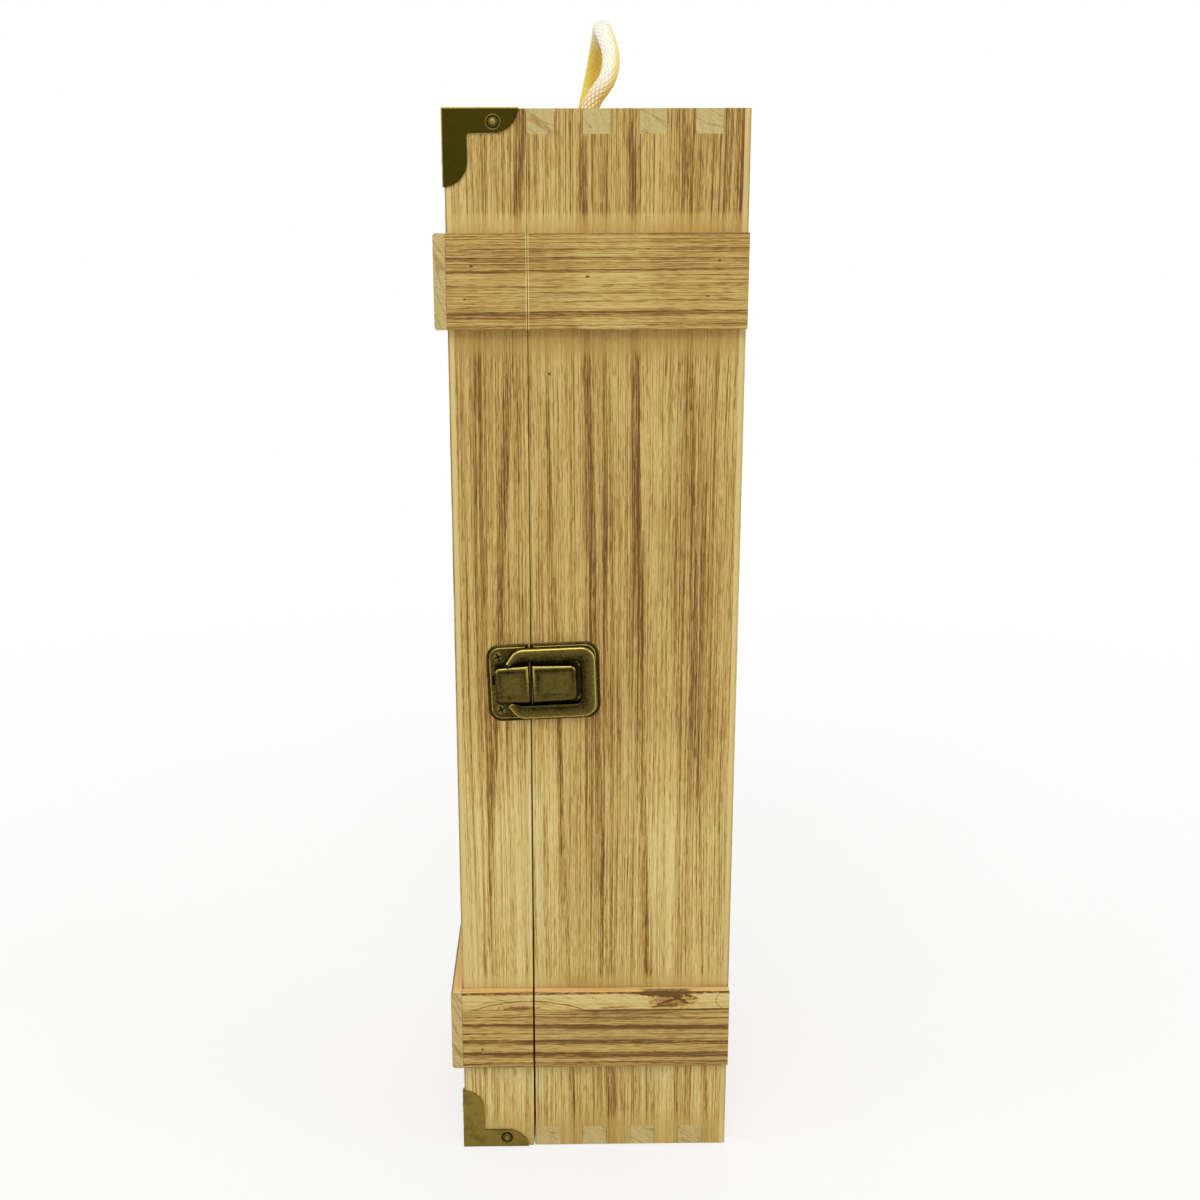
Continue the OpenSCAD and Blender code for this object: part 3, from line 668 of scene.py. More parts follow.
class WINEBOX_OT_panels(bpy.types.Operator):
    """Thin plywood panels at the front of the lid and the back of the tray"""

    bl_idname = "winebox.panels"
    bl_label = "Plywood panels"

    def execute(self, context):
        wood = context.scene.wine_box_wood
        for node, shift in (("lid_front_panel", 70), ("tray_back_panel", 130)):
            material = torched_wood("Torched " + node.replace("_", " "), Grain(
                "YXZ", shift=(shift, 3, shift), torched=[("X", CASE_D / 2 - 0.05)], lines=0.8, wander=12, plies=True,
                bands=[(-18.0, 0.02, 0, 1.3, 0.4, -20, 400), (22.0, -0.03, 2e-5, 1.5, 0.45, -20, 400)],
                fades=WALL_FADES[:2] if node == "lid_front_panel" else (),
            ), wood)
            board(node, material, wood, "plywood")
        return {"FINISHED"}


def batten_lines(*lines):
    """Dark bands along a whole batten: (height, slope, half width, strength)."""
    return [(height, slope, 0, half, strength, -60, 60) for height, slope, half, strength in lines]


class WINEBOX_OT_battens(bpy.types.Operator):
    """Upper and lower battens on both sides and on the lid's front"""

    bl_idname = "winebox.battens"
    bl_label = "Battens"

    def execute(self, context):
        wood = context.scene.wine_box_wood
        both = [(UPPER_BATTEN[1], 0, 0), (LOWER_BATTEN[1], 0, 0)]
        side = {"torched": [("Y", CASE_W / 2 + 0.1)], "ends": [("X", CASE_D / 2 - 0.05)], "middle": 0.0}
        near_upper = torched_wood("Torched near upper battens", Grain(
            "ZYX", shift=(0, 0, 20), lines=0.5, wander=1.2, level=0.44, contrast=0.8, painted_lit_tops=both[:1],
            bands=batten_lines(
                (315.1, 0.0, 0.3, 0.45), (311.6, 0.011, 0.35, 0.55), (317.9, 0.006, 0.25, 0.35),
                (306.8, 0.006, 0.3, 0.3), (302.2, 0.012, 0.3, 0.35), (298.4, 0.012, 0.8, 0.5),
                (294.6, 0.01, 0.4, 0.35), (293.5, 0, 0.35, 0.35), (322.7, 0, 0.3, 0.3),
            ),
            # a pale line along the saw cut: sanded edges, and partly a painted highlight of the chamfer
            tones=[((290, -22.4), (330, -21.6), (0.2, 0.2), -0.4), ((290, -3), (330, 14), (6, 6), -0.1)],
            pits=[
                (-39.5, 312.9, 0.6, 0.4), (-41.7, 302.9, 0.5, 0.3), (-3.1, 309.7, 0.8, 0.4),
                (34.7, 303.6, 0.6, 0.3), (38.1, 314.5, 0.5, 0.35),
            ], **side,
        ), wood)
        near_lower = torched_wood("Torched near lower battens", Grain(
            "ZYX", shift=(120, 0, 70), lines=0.65, wander=2.0, level=0.5, extra=knotty_strip,
            painted_lit_tops=[(LOWER_BATTEN[1], 18.5, 31.5)], pits=[(-40.5, 41.3, 0.5, 0.5)],
            bands=batten_lines(
                (50.2, -0.015, 0.6, 0.7), (44.0, -0.012, 0.65, 0.75), (39.0, -0.008, 0.85, 0.75),
                (47.2, -0.01, 0.3, 0.35), (53.6, -0.01, 0.35, 0.4), (35.9, 0, 0.4, 0.45),
            ), **side,
        ), wood)
        far = torched_wood("Torched far battens", Grain(
            "ZYX", shift=(40, 70, 150), lines=0.6, wander=2.0, level=0.45, painted_lit_tops=both, **side,
            bands=batten_lines(
                (301, 0.01, 0.8, 0.5), (312, -0.01, 0.5, 0.5), (44, 0.012, 0.8, 0.5), (56, -0.006, 0.5, 0.5),
            ),
        ), wood)
        front = torched_wood("Torched front battens", Grain(
            "ZXY", shift=(90, 30, 10), lines=0.6, wander=2.5, level=0.45, middle=0.0, painted_lit_tops=both,
            torched=[("X", CASE_D / 2 + 0.1)], ends=[("Y", BATTEN_FACE - 0.1)],
            bands=batten_lines(
                (303, 0.01, 0.7, 0.5), (315, -0.006, 0.5, 0.45), (42, 0.008, 0.7, 0.5), (53, -0.01, 0.6, 0.45),
            ),
        ), wood)
        for part in ("tray", "lid"):
            board(part + "_batten_near_upper", near_upper, wood, "batten")
            board(part + "_batten_near_lower", near_lower, wood, "batten")
            board(part + "_batten_far_upper", far, wood, "batten")
            board(part + "_batten_far_lower", far, wood, "batten")
        board("front_batten_upper", front, wood, "batten")
        board("front_batten_lower", front, wood, "batten")
        return {"FINISHED"}


# ---- Metal ----


def finishes(metal):
    """Each finish: its main colour, its stains, its rubbed spots, how patchy it is, and its roughness."""
    return {
        "Aged bronze": (metal.bronze, metal.dark, metal.worn_and_highlight, 0.4, 0.36),
        "Rubbed bronze": (metal.worn_and_highlight, metal.bronze, linear(186, 166, 88), 0.35, 0.3),
        "Dark bronze": (metal.dark, linear(22, 18, 7), metal.bronze, 0.3, 0.45),
        "Mottled bronze": (linear(138, 119, 56), linear(104, 88, 40), linear(164, 144, 74), 0.7, 0.42),
        "Olive bronze": (linear(62, 54, 13), linear(50, 44, 9), linear(84, 75, 28), 0.5, 0.4),
    }


def aged_bronze(name, main, stain_and_shade, glint, patches, roughness, worn_and_highlight=None, folds=None):
    """Lacquered bronze with darker stains, paler rubbed spots and fine scratches.

    With a colour for the bright edges, the mesh's own attribute makes it that colour at 1, for scuffed edges and for
    painted highlights, and dark at 0, a painted shade.
    With folds, a colour, a line of it shows along the outer folds of a bracket's side face as a painted highlight.
    """
    n = Shade(name)
    x, y, z = n.place()
    cloud = n.noise(x * 0.22, y * 0.22, z * 0.22, 3, 0.55)
    spots = n.noise(x * 1.3, y * 1.3, z * 1.3, 3, 0.6)
    brush = n.noise(x * 1.6, y * 1.6, z * 7.0, 2, 0.6)
    colour = n.mix(n.step(cloud, -0.02, 0.2, 0, patches), main, stain_and_shade)
    colour = n.mix(n.step(spots, 0.05, 0.22, 0, patches * 0.8), colour, glint)
    colour = n.mix(n.step(brush, 0.04, 0.25, 0, 0.18), colour, stain_and_shade)
    rough = cloud * 0.25 + spots * 0.2 + roughness
    # painted light: the attribute brightens scuffed edges and painted highlights, and darkens painted shade towards 0
    if worn_and_highlight:
        wear = n.attribute("wear")
        rubbed_and_lit = wear + spots * 0.5 + cloud * 0.45 + brush * 0.25
        colour = n.mix(n.step(rubbed_and_lit, 0.02, 0.45), stain_and_shade, colour)
        colour = n.mix(n.step(rubbed_and_lit, 0.4, 0.95), colour, worn_and_highlight)
        rough = rough - wear * 0.08
    # painted highlight: a bright line along the bracket's outer folds
    if folds:
        outside = CASE_W / 2 + BRACKET_T
        on_side = n.step(abs(y), outside - 0.3, outside - 0.15)
        front_fold = n.step(abs(x), CASE_D / 2 + 0.2, CASE_D / 2 + 0.42, 0, 0.7)
        at_fold = n.calc("MAXIMUM", front_fold, n.step(z, CASE_H - 0.15, CASE_H + 0.1))
        colour = n.mix(on_side * at_fold * (spots * 0.8 + 0.85), colour, folds)
    height = spots * 0.6 + brush * 0.25
    return n.finish(colour, rough, height, 0.03 * MM, metallic=1.0)


def bronzes(metal, *names):
    """The named finishes, each made once."""
    for name, facts in finishes(metal).items():
        if name in names and name not in bpy.data.materials:
            aged_bronze(name, *facts, folds=linear(214, 186, 96) if name == "Olive bronze" else None)
    if "Latch bronze" in names and "Latch bronze" not in bpy.data.materials:
        aged_bronze("Latch bronze", linear(92, 80, 36), linear(38, 32, 12), linear(118, 103, 50), 0.35, 0.3,
                    linear(176, 156, 78))
    return [bpy.data.materials[name] for name in names]


def metal_copy(name, node, metal, main="Aged bronze", fine=1.0, angle=35, slot="bronze", shape=None):
    """A fitting as its CAD node is shaped, with its edges rounded over fine of the set width, and the rounding given
    the bright edge material, for scuffing and a painted highlight.
    """
    bm = node_copy(node)
    bmesh.ops.bevel(
        bm, geom=arrises(bm, angle, 0.15), offset=fine * metal.edge / MM, offset_type="OFFSET", segments=2,
        profile=0.5, affect="EDGES", material=1, clamp_overlap=True, loop_slide=True,
    )
    if shape:
        shape(bm)
    made = piece(name, bm, bronzes(metal, main, "Rubbed bronze"), body_of(node), [node], slot, 40)
    keep_flat(made)
    return made


class WINEBOX_OT_brackets(bpy.types.Operator):
    """Stamped bronze corner brackets on the lid"""

    bl_idname = "winebox.brackets"
    bl_label = "Corner brackets"

    def execute(self, context):
        metal = context.scene.wine_box_metal

        def highlight_folds(bm):
            # painted highlight: the folds get the bright edge material where they would catch the light; the top leg is
            # pressed into the wood a little
            for face in bm.faces:
                tilts = sorted(abs(c) for c in face.normal)
                if tilts[1] > 0.22 and face.calc_area() < 20:
                    face.material_index = 1
            for v in bm.verts:
                if v.co.z > CASE_H:
                    v.co.z = CASE_H + (v.co.z - CASE_H) * BRACKET_PRESSED
                elif v.co.z < CASE_H / 2:
                    v.co.z -= BRACKET_LOW * min(1.0, v.co.z / 5)

        for side in ("near", "far"):
            for end in ("top", "bottom"):
                node = f"bracket_{side}_{end}"
                finish = "Olive bronze" if end == "top" else "Mottled bronze"
                metal_copy("corner_" + node, node, metal, finish, shape=highlight_folds)
        return {"FINISHED"}


def turned(profile, spot, steps, kind=None):
    """Spins a profile of (radius, height) points round +Z and puts it at spot. kind picks each face's material."""
    bm = bmesh.new()
    verts = [bm.verts.new((r, 0, h)) for r, h in profile]
    edges = [bm.edges.new(pair) for pair in zip(verts, verts[1:])]
    bmesh.ops.spin(
        bm, geom=verts + edges, cent=(0, 0, 0), axis=(0, 0, 1), dvec=(0, 0, 0), angle=math.tau, steps=steps,
        use_merge=True, use_normal_flip=False, use_duplicate=False,
    )
    bmesh.ops.remove_doubles(bm, verts=bm.verts, dist=1e-4)
    bmesh.ops.recalc_face_normals(bm, faces=bm.faces)
    if kind:
        for face in bm.faces:
            middle = face.calc_center_median()
            face.material_index = kind(middle.xy.length, middle.z)
    bmesh.ops.transform(bm, matrix=spot, verts=bm.verts)
    return bm


def joined(parts):
    """Several bmeshes in one."""
    whole = bmesh.new()
    for part in parts:
        mesh = bpy.data.meshes.new("part")
        part.to_mesh(mesh)
        part.free()
        whole.from_mesh(mesh)
        bpy.data.meshes.remove(mesh)
    return whole


def cut_from(bm, tools):
    """bm less each of the tools, all closed."""
    def shown(part, name):
        mesh = bpy.data.meshes.new(name)
        part.to_mesh(mesh)
        part.free()
        obj = bpy.data.objects.new(name, mesh)
        collection().objects.link(obj)
        return obj

    body = shown(bm, "cut")
    others = [shown(tool, "tool") for tool in tools]
    for other in others:
        cut = body.modifiers.new("cut", "BOOLEAN")
        cut.operation = "DIFFERENCE"
        cut.solver = "EXACT"
        cut.object = other
    result = bpy.data.meshes.new_from_object(body.evaluated_get(bpy.context.evaluated_depsgraph_get()))
    done = bmesh.new()
    done.from_mesh(result)
    for obj in [body, *others]:
        mesh = obj.data
        bpy.data.objects.remove(obj)
        bpy.data.meshes.remove(mesh)
    bpy.data.meshes.remove(result)
    return done


# A nail's distance from its bracket's corner, along the leg and across it
NAIL_FAR, NAIL_NEAR = 15.3, 3.6
NAIL_DOME_R = 1.65
# The rest of its profile: (radius, height)
NAIL_RIM = [(1.72, 0.04), (1.95, 0.03), (2.08, 0.12), (2.22, 0.14), (2.36, 0.07), (2.42, -0.1)]
NAIL_SHANK = [(0.6, -0.1), (0.6, -4.6), (0, -5.9)]


def nail_spots():
    """Where each nail stands on its bracket: a matrix with +Z outwards, and how high its dome is."""
    outwards = {-1: Matrix.Rotation(math.pi / 2, 4, "X"), 1: Matrix.Rotation(-math.pi / 2, 4, "X")}
    to_front = Matrix.Rotation(-math.pi / 2, 4, "Y")
    spots = []
    for side in (-1, 1):
        for end in (-1, 1):
            corner = Vector((-CASE_D / 2, side * CASE_W / 2, BRACKET_T if end < 0 else CASE_H))
            low = BRACKET_LOW if end < 0 else 0
            on_side = corner + Vector((NAIL_FAR, side * BRACKET_T, -end * (NAIL_NEAR + 0.4) - low * 0.8))
            spots.append((Matrix.Translation(on_side) @ outwards[side], 0.75))
            on_front = corner + Vector((-BRACKET_T, -side * NAIL_NEAR, -end * NAIL_FAR - low))
            spots.append((Matrix.Translation(on_front) @ to_front, 0.35))
            if end > 0:
                on_top = corner + Vector((NAIL_NEAR, -side * NAIL_FAR, BRACKET_T * BRACKET_PRESSED))
                spots.append((Matrix.Translation(on_top), 0.5))
    return spots


class WINEBOX_OT_nails(bpy.types.Operator):
    """Domed nails that hold the corner brackets"""

    bl_idname = "winebox.nails"
    bl_label = "Bracket nails"

    def execute(self, context):
        kinds = bronzes(context.scene.wine_box_metal, "Aged bronze", "Mottled bronze", "Dark bronze")

        def kind(r, h):
            # the dome's top and the rim are mottled, the groove between them and the shank are dark
            if h < 0 or 1.5 <= r <= 2.0:
                return 2
            return 1 if r < 0.7 or r > 2.15 else 0

        parts = []
        angles = [math.radians(a) for a in range(0, 91, 10)]
        for spot, rise in nail_spots():
            dome = [(NAIL_DOME_R * math.sin(a), 0.06 + rise * math.cos(a)) for a in angles]
            parts.append(turned(dome + NAIL_RIM + NAIL_SHANK, spot, 40, kind))
        piece("nails", joined(parts), kinds, "lid", ["bracket_nails"], "worn_bronze", 50)
        return {"FINISHED"}


# ---- Latch ----

LATCH = (
    Matrix.Translation((SEAM_X, -CASE_W / 2, LATCH_Z))
    @ Matrix.Rotation(math.pi / 2, 4, "X")
    @ Matrix.Rotation(math.radians(LATCH_TILT), 4, "Z")
)
BLOCK_H = 12.0
BLOCK_RISE = 2.9
SLOT = (-12.55, 1.2, 0.9, 3.4)  # its middle (x, y), width and height
RING_Z = PLATE_T + 0.4
RING_AXIS = (-7.5, 0, PLATE_T + 1.75)
BAR_R, BAR_LENGTH = 1.1, 14.6
CATCH_BUMPS = (12.1, 6.5)  # x, and y on either side: what the ring snaps over
SCREW_R, SCREW_RISE, SCREW_LENGTH = 1.75, 0.5, 6.6
# The ring's outline from its upper root round to the lower one, and its window's back: (x, y, corner radius)
RING = [
    (-9.05, 6.3, 0.9), (-4.8, 12.3, 5.0), (22.0, 12.3, 4.8), (22.0, -12.2, 4.6), (-4.8, -12.2, 5.0),
    (-9.05, -6.3, 0.9), (-5.6, -6.4, 0.4), (-3.25, -7.3, 1.4), (16.8, -7.3, 2.0), (16.8, 7.3, 2.0),
    (-3.25, 7.3, 1.4), (-5.6, 6.4, 0.4),
]
# Each pair of screws: how deep its seats are sunk in the plate, and where they are
LATCH_SCREWS = {
    "latch_lid_screws": (0.12, [(-10.6, 9.3), (-10.4, -9.1)]),
    "latch_catch_screws": (0.4, [(16.9, 6.3), (16.9, -6.3)]),
}


def inset_outline(points, by):
    """(x, y, corner radius) points moved inwards by a distance; they run clockwise seen from above."""
    moved = []
    for i, (x, y, radius) in enumerate(points):
        here = Vector((x, y))
        into = (here - Vector(points[i - 1][:2])).normalized()
        out = (Vector(points[(i + 1) % len(points)][:2]) - here).normalized()
        side = Vector((into.y, -into.x)) + Vector((out.y, -out.x))
        convex = into.x * out.y - into.y * out.x < 0
        spot = here + side * (by / (1 + into.dot(out)))
        moved.append((*spot, max(0.06, radius - by) if convex else radius + by))
    return moved


def outline(bm, points, height):
    """A loop of edges at a height through (x, y, corner radius) points, with its corners rounded."""
    verts = [bm.verts.new((x, y, height)) for x, y, _ in points]
    bm.faces.new(verts)
    for corner, (_, _, radius) in zip(verts, points):
        rays = [loop_edge.other_vert(corner).co - corner.co for loop_edge in corner.link_edges]
        bmesh.ops.bevel(
            bm, geom=[corner], offset=radius / math.tan(rays[0].angle(rays[1]) / 2), offset_type="OFFSET", segments=8,
            profile=0.5, affect="VERTICES", material=-1, clamp_overlap=True, loop_slide=True,
        )
    return max((f for f in bm.faces if abs(f.verts[0].co.z - height) < 1e-6), key=lambda f: len(f.verts))


def aligned(spots, before):
    """The same loop of points, started where it lies closest to the one before."""
    count = len(spots)

    def distance(start):
        return sum((spots[(i + start) % count] - before[i]).length_squared for i in range(count))

    start = min(range(count), key=distance)
    return [spots[(i + start) % count] for i in range(count)]


def stepped(points, levels, shape=None):
    """A closed slab whose sides and top follow levels: (inset, height, brightness for scuffing and painted light).
    shape may move each level's points.
    """
    whole = bmesh.new()
    wear = vertex_layer(whole, "wear")
    ring, before = [], None
    for number, (inset, height, brightness) in enumerate(levels):
        bm = bmesh.new()
        face = outline(bm, inset_outline(points, inset), 0.0)
        spots = [v.co.copy() for v in face.verts]
        bm.free()
        if before:
            spots = aligned(spots, before)
            edges = [whole.edges.get(pair) for pair in zip(ring, ring[1:] + ring[:1])]
            made = bmesh.ops.extrude_edge_only(whole, edges=edges)["geom"]
            fresh = {item for item in made if isinstance(item, bmesh.types.BMVert)}
            ring = [next(e.other_vert(v) for e in v.link_edges if e.other_vert(v) in fresh) for v in ring]
        else:
            ring = [whole.verts.new(spot) for spot in spots]
            whole.faces.new(ring)
        for v, spot in zip(ring, spots):
            v.co = (spot.x, spot.y, height)
            v[wear] = brightness
            if shape:
                shape(v, number)
        before = spots
    whole.faces.new(ring)
    bmesh.ops.recalc_face_normals(whole, faces=whole.faces)
    return whole


def latch_plate(x0, x1, radius):
    """A pressed plate: rounded outer corners, and a sloping rim painted dark, a painted shade, round a flat face whose
    raised edge is painted bright, a painted highlight.
    """
    h = PLATE_H / 2
    points = [(x0, h, 0.25), (x1, h, radius), (x1, -h, radius), (x0, -h, 0.25)]
    bm = stepped(points if x1 > x0 else points[::-1], [
        (0, 0, 0.1), (0, 0.18, 0.25), (0.2, 0.34, 0.15), (0.9, 0.5, 0.1), (1.05, 0.72, 0.5), (1.2, PLATE_T, 0.8),
        (1.4, PLATE_T, 0.42), (1.6, PLATE_T, 0.3),
    ])
    wear = vertex_layer(bm, "wear")
    # painted shade: the plate is dark next to the gap between the two halves
    for v in bm.verts:
        if abs(v.co.x) < 2.5 and abs(v.co.y) < h - 1.5:
            v[wear] = 0.0
    return bm


def latch_block(split_x, far_x, corner, skirt_reach):
    """A folded catch: its top is crowned inside a rim with a painted highlight, brightest along its upper edge, and its
    corners flare where the two halves part.

    A dark skirt lies round its foot, reaching as far past its far end as its last argument says.
    """
    h = BLOCK_H / 2
    top = PLATE_T + BLOCK_RISE
    points = [(split_x, h, 0.2), (far_x, h, corner), (far_x, -h, corner), (split_x, -h, 0.2)]
    low, high = sorted((split_x, far_x + math.copysign(skirt_reach, far_x)))

    def keep_between(v, number):
        if number < len(skirt):
            v.co.x = min(max(v.co.x, low), high)

    skirt = [(-1.25, PLATE_T - 0.05, 0), (-1.2, PLATE_T + 0.04, 0), (-0.02, PLATE_T + 0.05, 0)]
    bm = stepped(points if far_x > split_x else points[::-1], skirt + [
        (0, top - 0.9, 0.0), (0.05, top - 0.5, 0.1), (0.15, top - 0.25, 0.5), (0.32, top - 0.06, 1.0),
        (0.55, top, 0.95), (0.8, top - 0.03, 0.35), (1.4, top - 0.12, 0.12), (2.3, top - 0.06, 0.3), (3.2, top, 0.42),
    ], keep_between)
    towards = 1 if split_x > far_x else -1
    wear = vertex_layer(bm, "wear")
    for v in bm.verts:
        up = v.co.y / h
        # painted highlight: the rim is brightest along the top, where the light from above falls, dimmer below and at
        # the sides; a painted shade darkens the band under the top rim
        if v[wear] > 0.8:
            v[wear] = 0.85 if up > 0.75 else 0.42 if up < -0.8 else 0.26
        elif 0 < v[wear] < 0.2 and v.co.z > top - 0.2:
            v[wear] = 0.12 if up > 0.4 else 0.32
        if v.co.z > top - 1.1:
            near = max(0.0, 1 - abs(v.co.x - split_x) / 1.8) ** 2
            side = max(0.0, 1 - (h - abs(v.co.y)) / 2.2)
            v.co.y += math.copysign(0.55 * near * side, v.co.y)
            v.co.x += towards * 0.3 * near * side
            v.co.z -= 0.25 * max(0.0, 1 - abs(v.co.x - split_x) / 1.2) * (1 - side)
    return bm


def line_distance(point, corners):
    """How far a flat point is from a line through corners."""
    best = 1e9
    for a, b in zip(corners, corners[1:]):
        ab = b - a
        t = clamped((point - a).dot(ab) / ab.length_squared)
        best = min(best, (point - a - ab * t).length)
    return best


def ring_shape():
    """The ring: a crowned face, bright along the outside and dark round the window, with a round bar at its root."""
    outside = [Vector(p[:2]) for p in RING[:6]]
    window = [Vector(p[:2]) for p in RING[6:]]
    insets = [0, 0, 0.1, 0.22, 0.38, 0.55, 0.72, 0.9]
    outer = [(0, 0.15), (1.5, 0.2), (1.9, 0.45), (2.15, 0.8), (2.32, 1.0), (2.42, 0.9), (2.47, 0.65), (2.5, 0.5)]
    inner = [(0, 0), (1.1, 0), (1.5, 0), (1.75, 0.02), (1.9, 0.05), (2.0, 0.06), (2.1, 0.08), (2.2, 0.1)]
    marks = []

    def shape(v, number):
        near = line_distance(v.co.xy, outside) < line_distance(v.co.xy, window)
        rise, brightness = (outer if near else inner)[number]
        v.co.z = RING_Z + rise
        marks.append(brightness)

    bm = stepped(RING, [(inset, 0, 0) for inset in insets], shape)
    wear = vertex_layer(bm, "wear")
    bm.verts.ensure_lookup_table()
    for v, brightness in zip(bm.verts, marks):
        v[wear] = brightness
    # the face between the two slopes leans in towards the window, and is darker there
    face = max(bm.faces, key=lambda f: f.calc_area() * f.normal.z)
    contour = set(face.verts)
    grid = [((-7 + 1.3 * i, 0, 0), (1, 0, 0)) for i in range(22)]
    grid += [((0, -11.7 + 1.3 * i, 0), (0, 1, 0)) for i in range(19)]
    parts = split(bm, [face, *face.edges, *face.verts], grid)
    for v in {v for f in parts if isinstance(f, bmesh.types.BMFace) for v in f.verts} - contour:
        if all(f.normal.z > 0.9 for f in v.link_faces):
            inner_gap = max(0.0, line_distance(v.co.xy, window) - 0.9)
            outer_gap = max(0.0, line_distance(v.co.xy, outside) - 0.9)
            share = inner_gap / max(0.01, inner_gap + outer_gap)
            v.co.z = RING_Z + 2.2 + 0.3 * share
            v[wear] = 0.1 + 0.4 * share
    bar = solid(
        bmesh.ops.create_cone, (1, 1, 1), (math.pi / 2, "X"), RING_AXIS,
        cap_ends=True, segments=28, radius1=BAR_R, radius2=BAR_R, depth=BAR_LENGTH,
    )
    vertex_layer(bar, "wear")
    return [bm, bar]


def slotted(bm, across, up, wide, tall):
    """Cuts a straight slot through a flat plate."""
    cuts = [((across + s * wide / 2, 0, 0), (1, 0, 0)) for s in (-1, 1)]
    cuts += [((0, up + s * tall / 2, 0), (0, 1, 0)) for s in (-1, 1)]
    split(bm, bm.verts[:] + bm.edges[:] + bm.faces[:], cuts)
    inside = []
    for face in bm.faces:
        spot = face.calc_center_median()
        if abs(spot.x - across) < wide / 2 and abs(spot.y - up) < tall / 2:
            inside.append(face)
    bmesh.ops.delete(bm, geom=inside, context="FACES_ONLY")
    bmesh.ops.bridge_loops(bm, edges=[edge for edge in bm.edges if len(edge.link_faces) == 1])
    bmesh.ops.recalc_face_normals(bm, faces=bm.faces)
    return bm


def cross_screw(spot):
    """A cross-slotted pan-head screw, its seat at spot. The slot's faces have the second material."""
    r, h = SCREW_R, SCREW_RISE
    head = [(0, h), (r * 0.55, h * 0.97), (r * 0.85, h * 0.8), (r, h * 0.35), (r, 0)]
    shank = [(0.8, 0), (0.8, 2 - SCREW_LENGTH), (0, -SCREW_LENGTH)]
    screw = cut_from(turned(head + shank, Matrix.Identity(4), 32), [
        solid(bmesh.ops.create_cube, (r * 1.48, 0.54, 0.8), (turn + 0.35, "Z"), (0, 0, h + 0.08), size=1)
        for turn in (0, math.pi / 2)
    ])
    wear = vertex_layer(screw, "wear")
    for v in screw.verts:
        v[wear] = 0.5 if v.co.xy.length < 0.95 * r and v.co.z > h * 0.7 else 0.0
    for face in screw.faces:
        middle = face.calc_center_median()
        in_slot = abs(face.normal.z) < 0.2 or middle.z < h - 0.25
        if in_slot and middle.xy.length < r * 0.8 and middle.z > 0:
            face.material_index = 1
    bmesh.ops.transform(screw, matrix=spot, verts=screw.verts)
    return screw


def grime_and_painted_shade():
    """A near-black colour: grit and painted shade in the screw slots, and painted shade on the sheet in the hole behind
    the strap.
    """
    n = Shade("Grime in the screw slots")
    x, y, z = n.place()
    dust = n.noise(x * 3, y * 3, z * 3, 2, 0.6)
    return n.finish(n.mix(n.step(dust, -0.2, 0.3), linear(9, 7, 4), linear(22, 18, 10)), 0.9, specular=0.1)


class WINEBOX_OT_latch(bpy.types.Operator):
    """Latch: the lid's plate with its strap, the swinging ring, the tray's plate with its catch, and four screws"""

    bl_idname = "winebox.latch"
    bl_label = "Latch"

    def execute(self, context):
        kinds = bronzes(context.scene.wine_box_metal, "Latch bronze") + [grime_and_painted_shade()]

        def place(name, parts, node, slot="bronze"):
            bm = joined(parts)
            bmesh.ops.transform(bm, matrix=LATCH, verts=bm.verts)
            piece(name, bm, kinds, body_of(node), [node], slot, 32)

        # painted shade: a thin dark sheet fills the hole behind the strap
        middle, up, wide, tall = SLOT
        hole = solid(bmesh.ops.create_cube, (wide, tall, 0.1), (0, "Z"), (middle, up, 0.06), size=1)
        for face in hole.faces:
            face.material_index = 1
        vertex_layer(hole, "wear")
        lid_plate = slotted(latch_plate(-0.45, -14.7, 4.6), *SLOT)
        place("metal_lid_plate", [lid_plate, hole, latch_block(-0.75, -11.9, 1.6, 0.1)], "latch_lid_plate")
        x, y = CATCH_BUMPS
        bumps = [
            solid(
                bmesh.ops.create_uvsphere, (1.4, 1, 1.6), (0, "Z"), (x, side * y, PLATE_T),
                u_segments=20, v_segments=10, radius=0.6,
            ) for side in (-1, 1)
        ]
        catch = [latch_plate(0.35, 23.2, 4.8), latch_block(0.75, 15.5, 2.1, 1.2), *bumps]
        place("metal_catch_plate", catch, "latch_catch_plate")
        place("metal_latch_ring", ring_shape(), "latch_ring", "worn_bronze")
        for node, (sunk, spots) in LATCH_SCREWS.items():
            screws = [cross_screw(Matrix.Translation((x, y, PLATE_T - sunk))) for x, y in spots]
            place("metal_" + node, screws, node, "worn_bronze")
        return {"FINISHED"}


class WINEBOX_OT_hinges(bpy.types.Operator):
    """Two small hinges on the far side, with their pins and screws"""

    bl_idname = "winebox.hinges"
    bl_label = "Hinges"

    def execute(self, context):
        metal = context.scene.wine_box_metal
        for height in ("lower", "upper"):
            for part in ("tray_leaf", "lid_leaf", "pin"):
                node = f"hinge_{height}_{part}"
                metal_copy("metal_" + node, node, metal, angle=50)
        for node in ("hinge_tray_screws", "hinge_lid_screws"):
            metal_copy("metal_" + node, node, metal, fine=0.6, angle=50, slot="worn_bronze")
        return {"FINISHED"}


# ---- Rope ----

ROPE_X = -1.5
HOLE_Y = 25.0
HANDLE_Z = 363.3
LOOP_BOW = 6.5
LOOP_RISE = 29.1
IN_BOARD = (347.5, 352, 356, 360)  # heights of the route through the board
BRAID_STEP = 0.26
STRANDS = 12
STRAND_RISE = 0.26
KNOT_TOP = 352.4
KNOT_R = 3.5
KNOT_POINTS, POINTS_A_TURN = 15, 9
KNOT_ROPE_R = 2.85
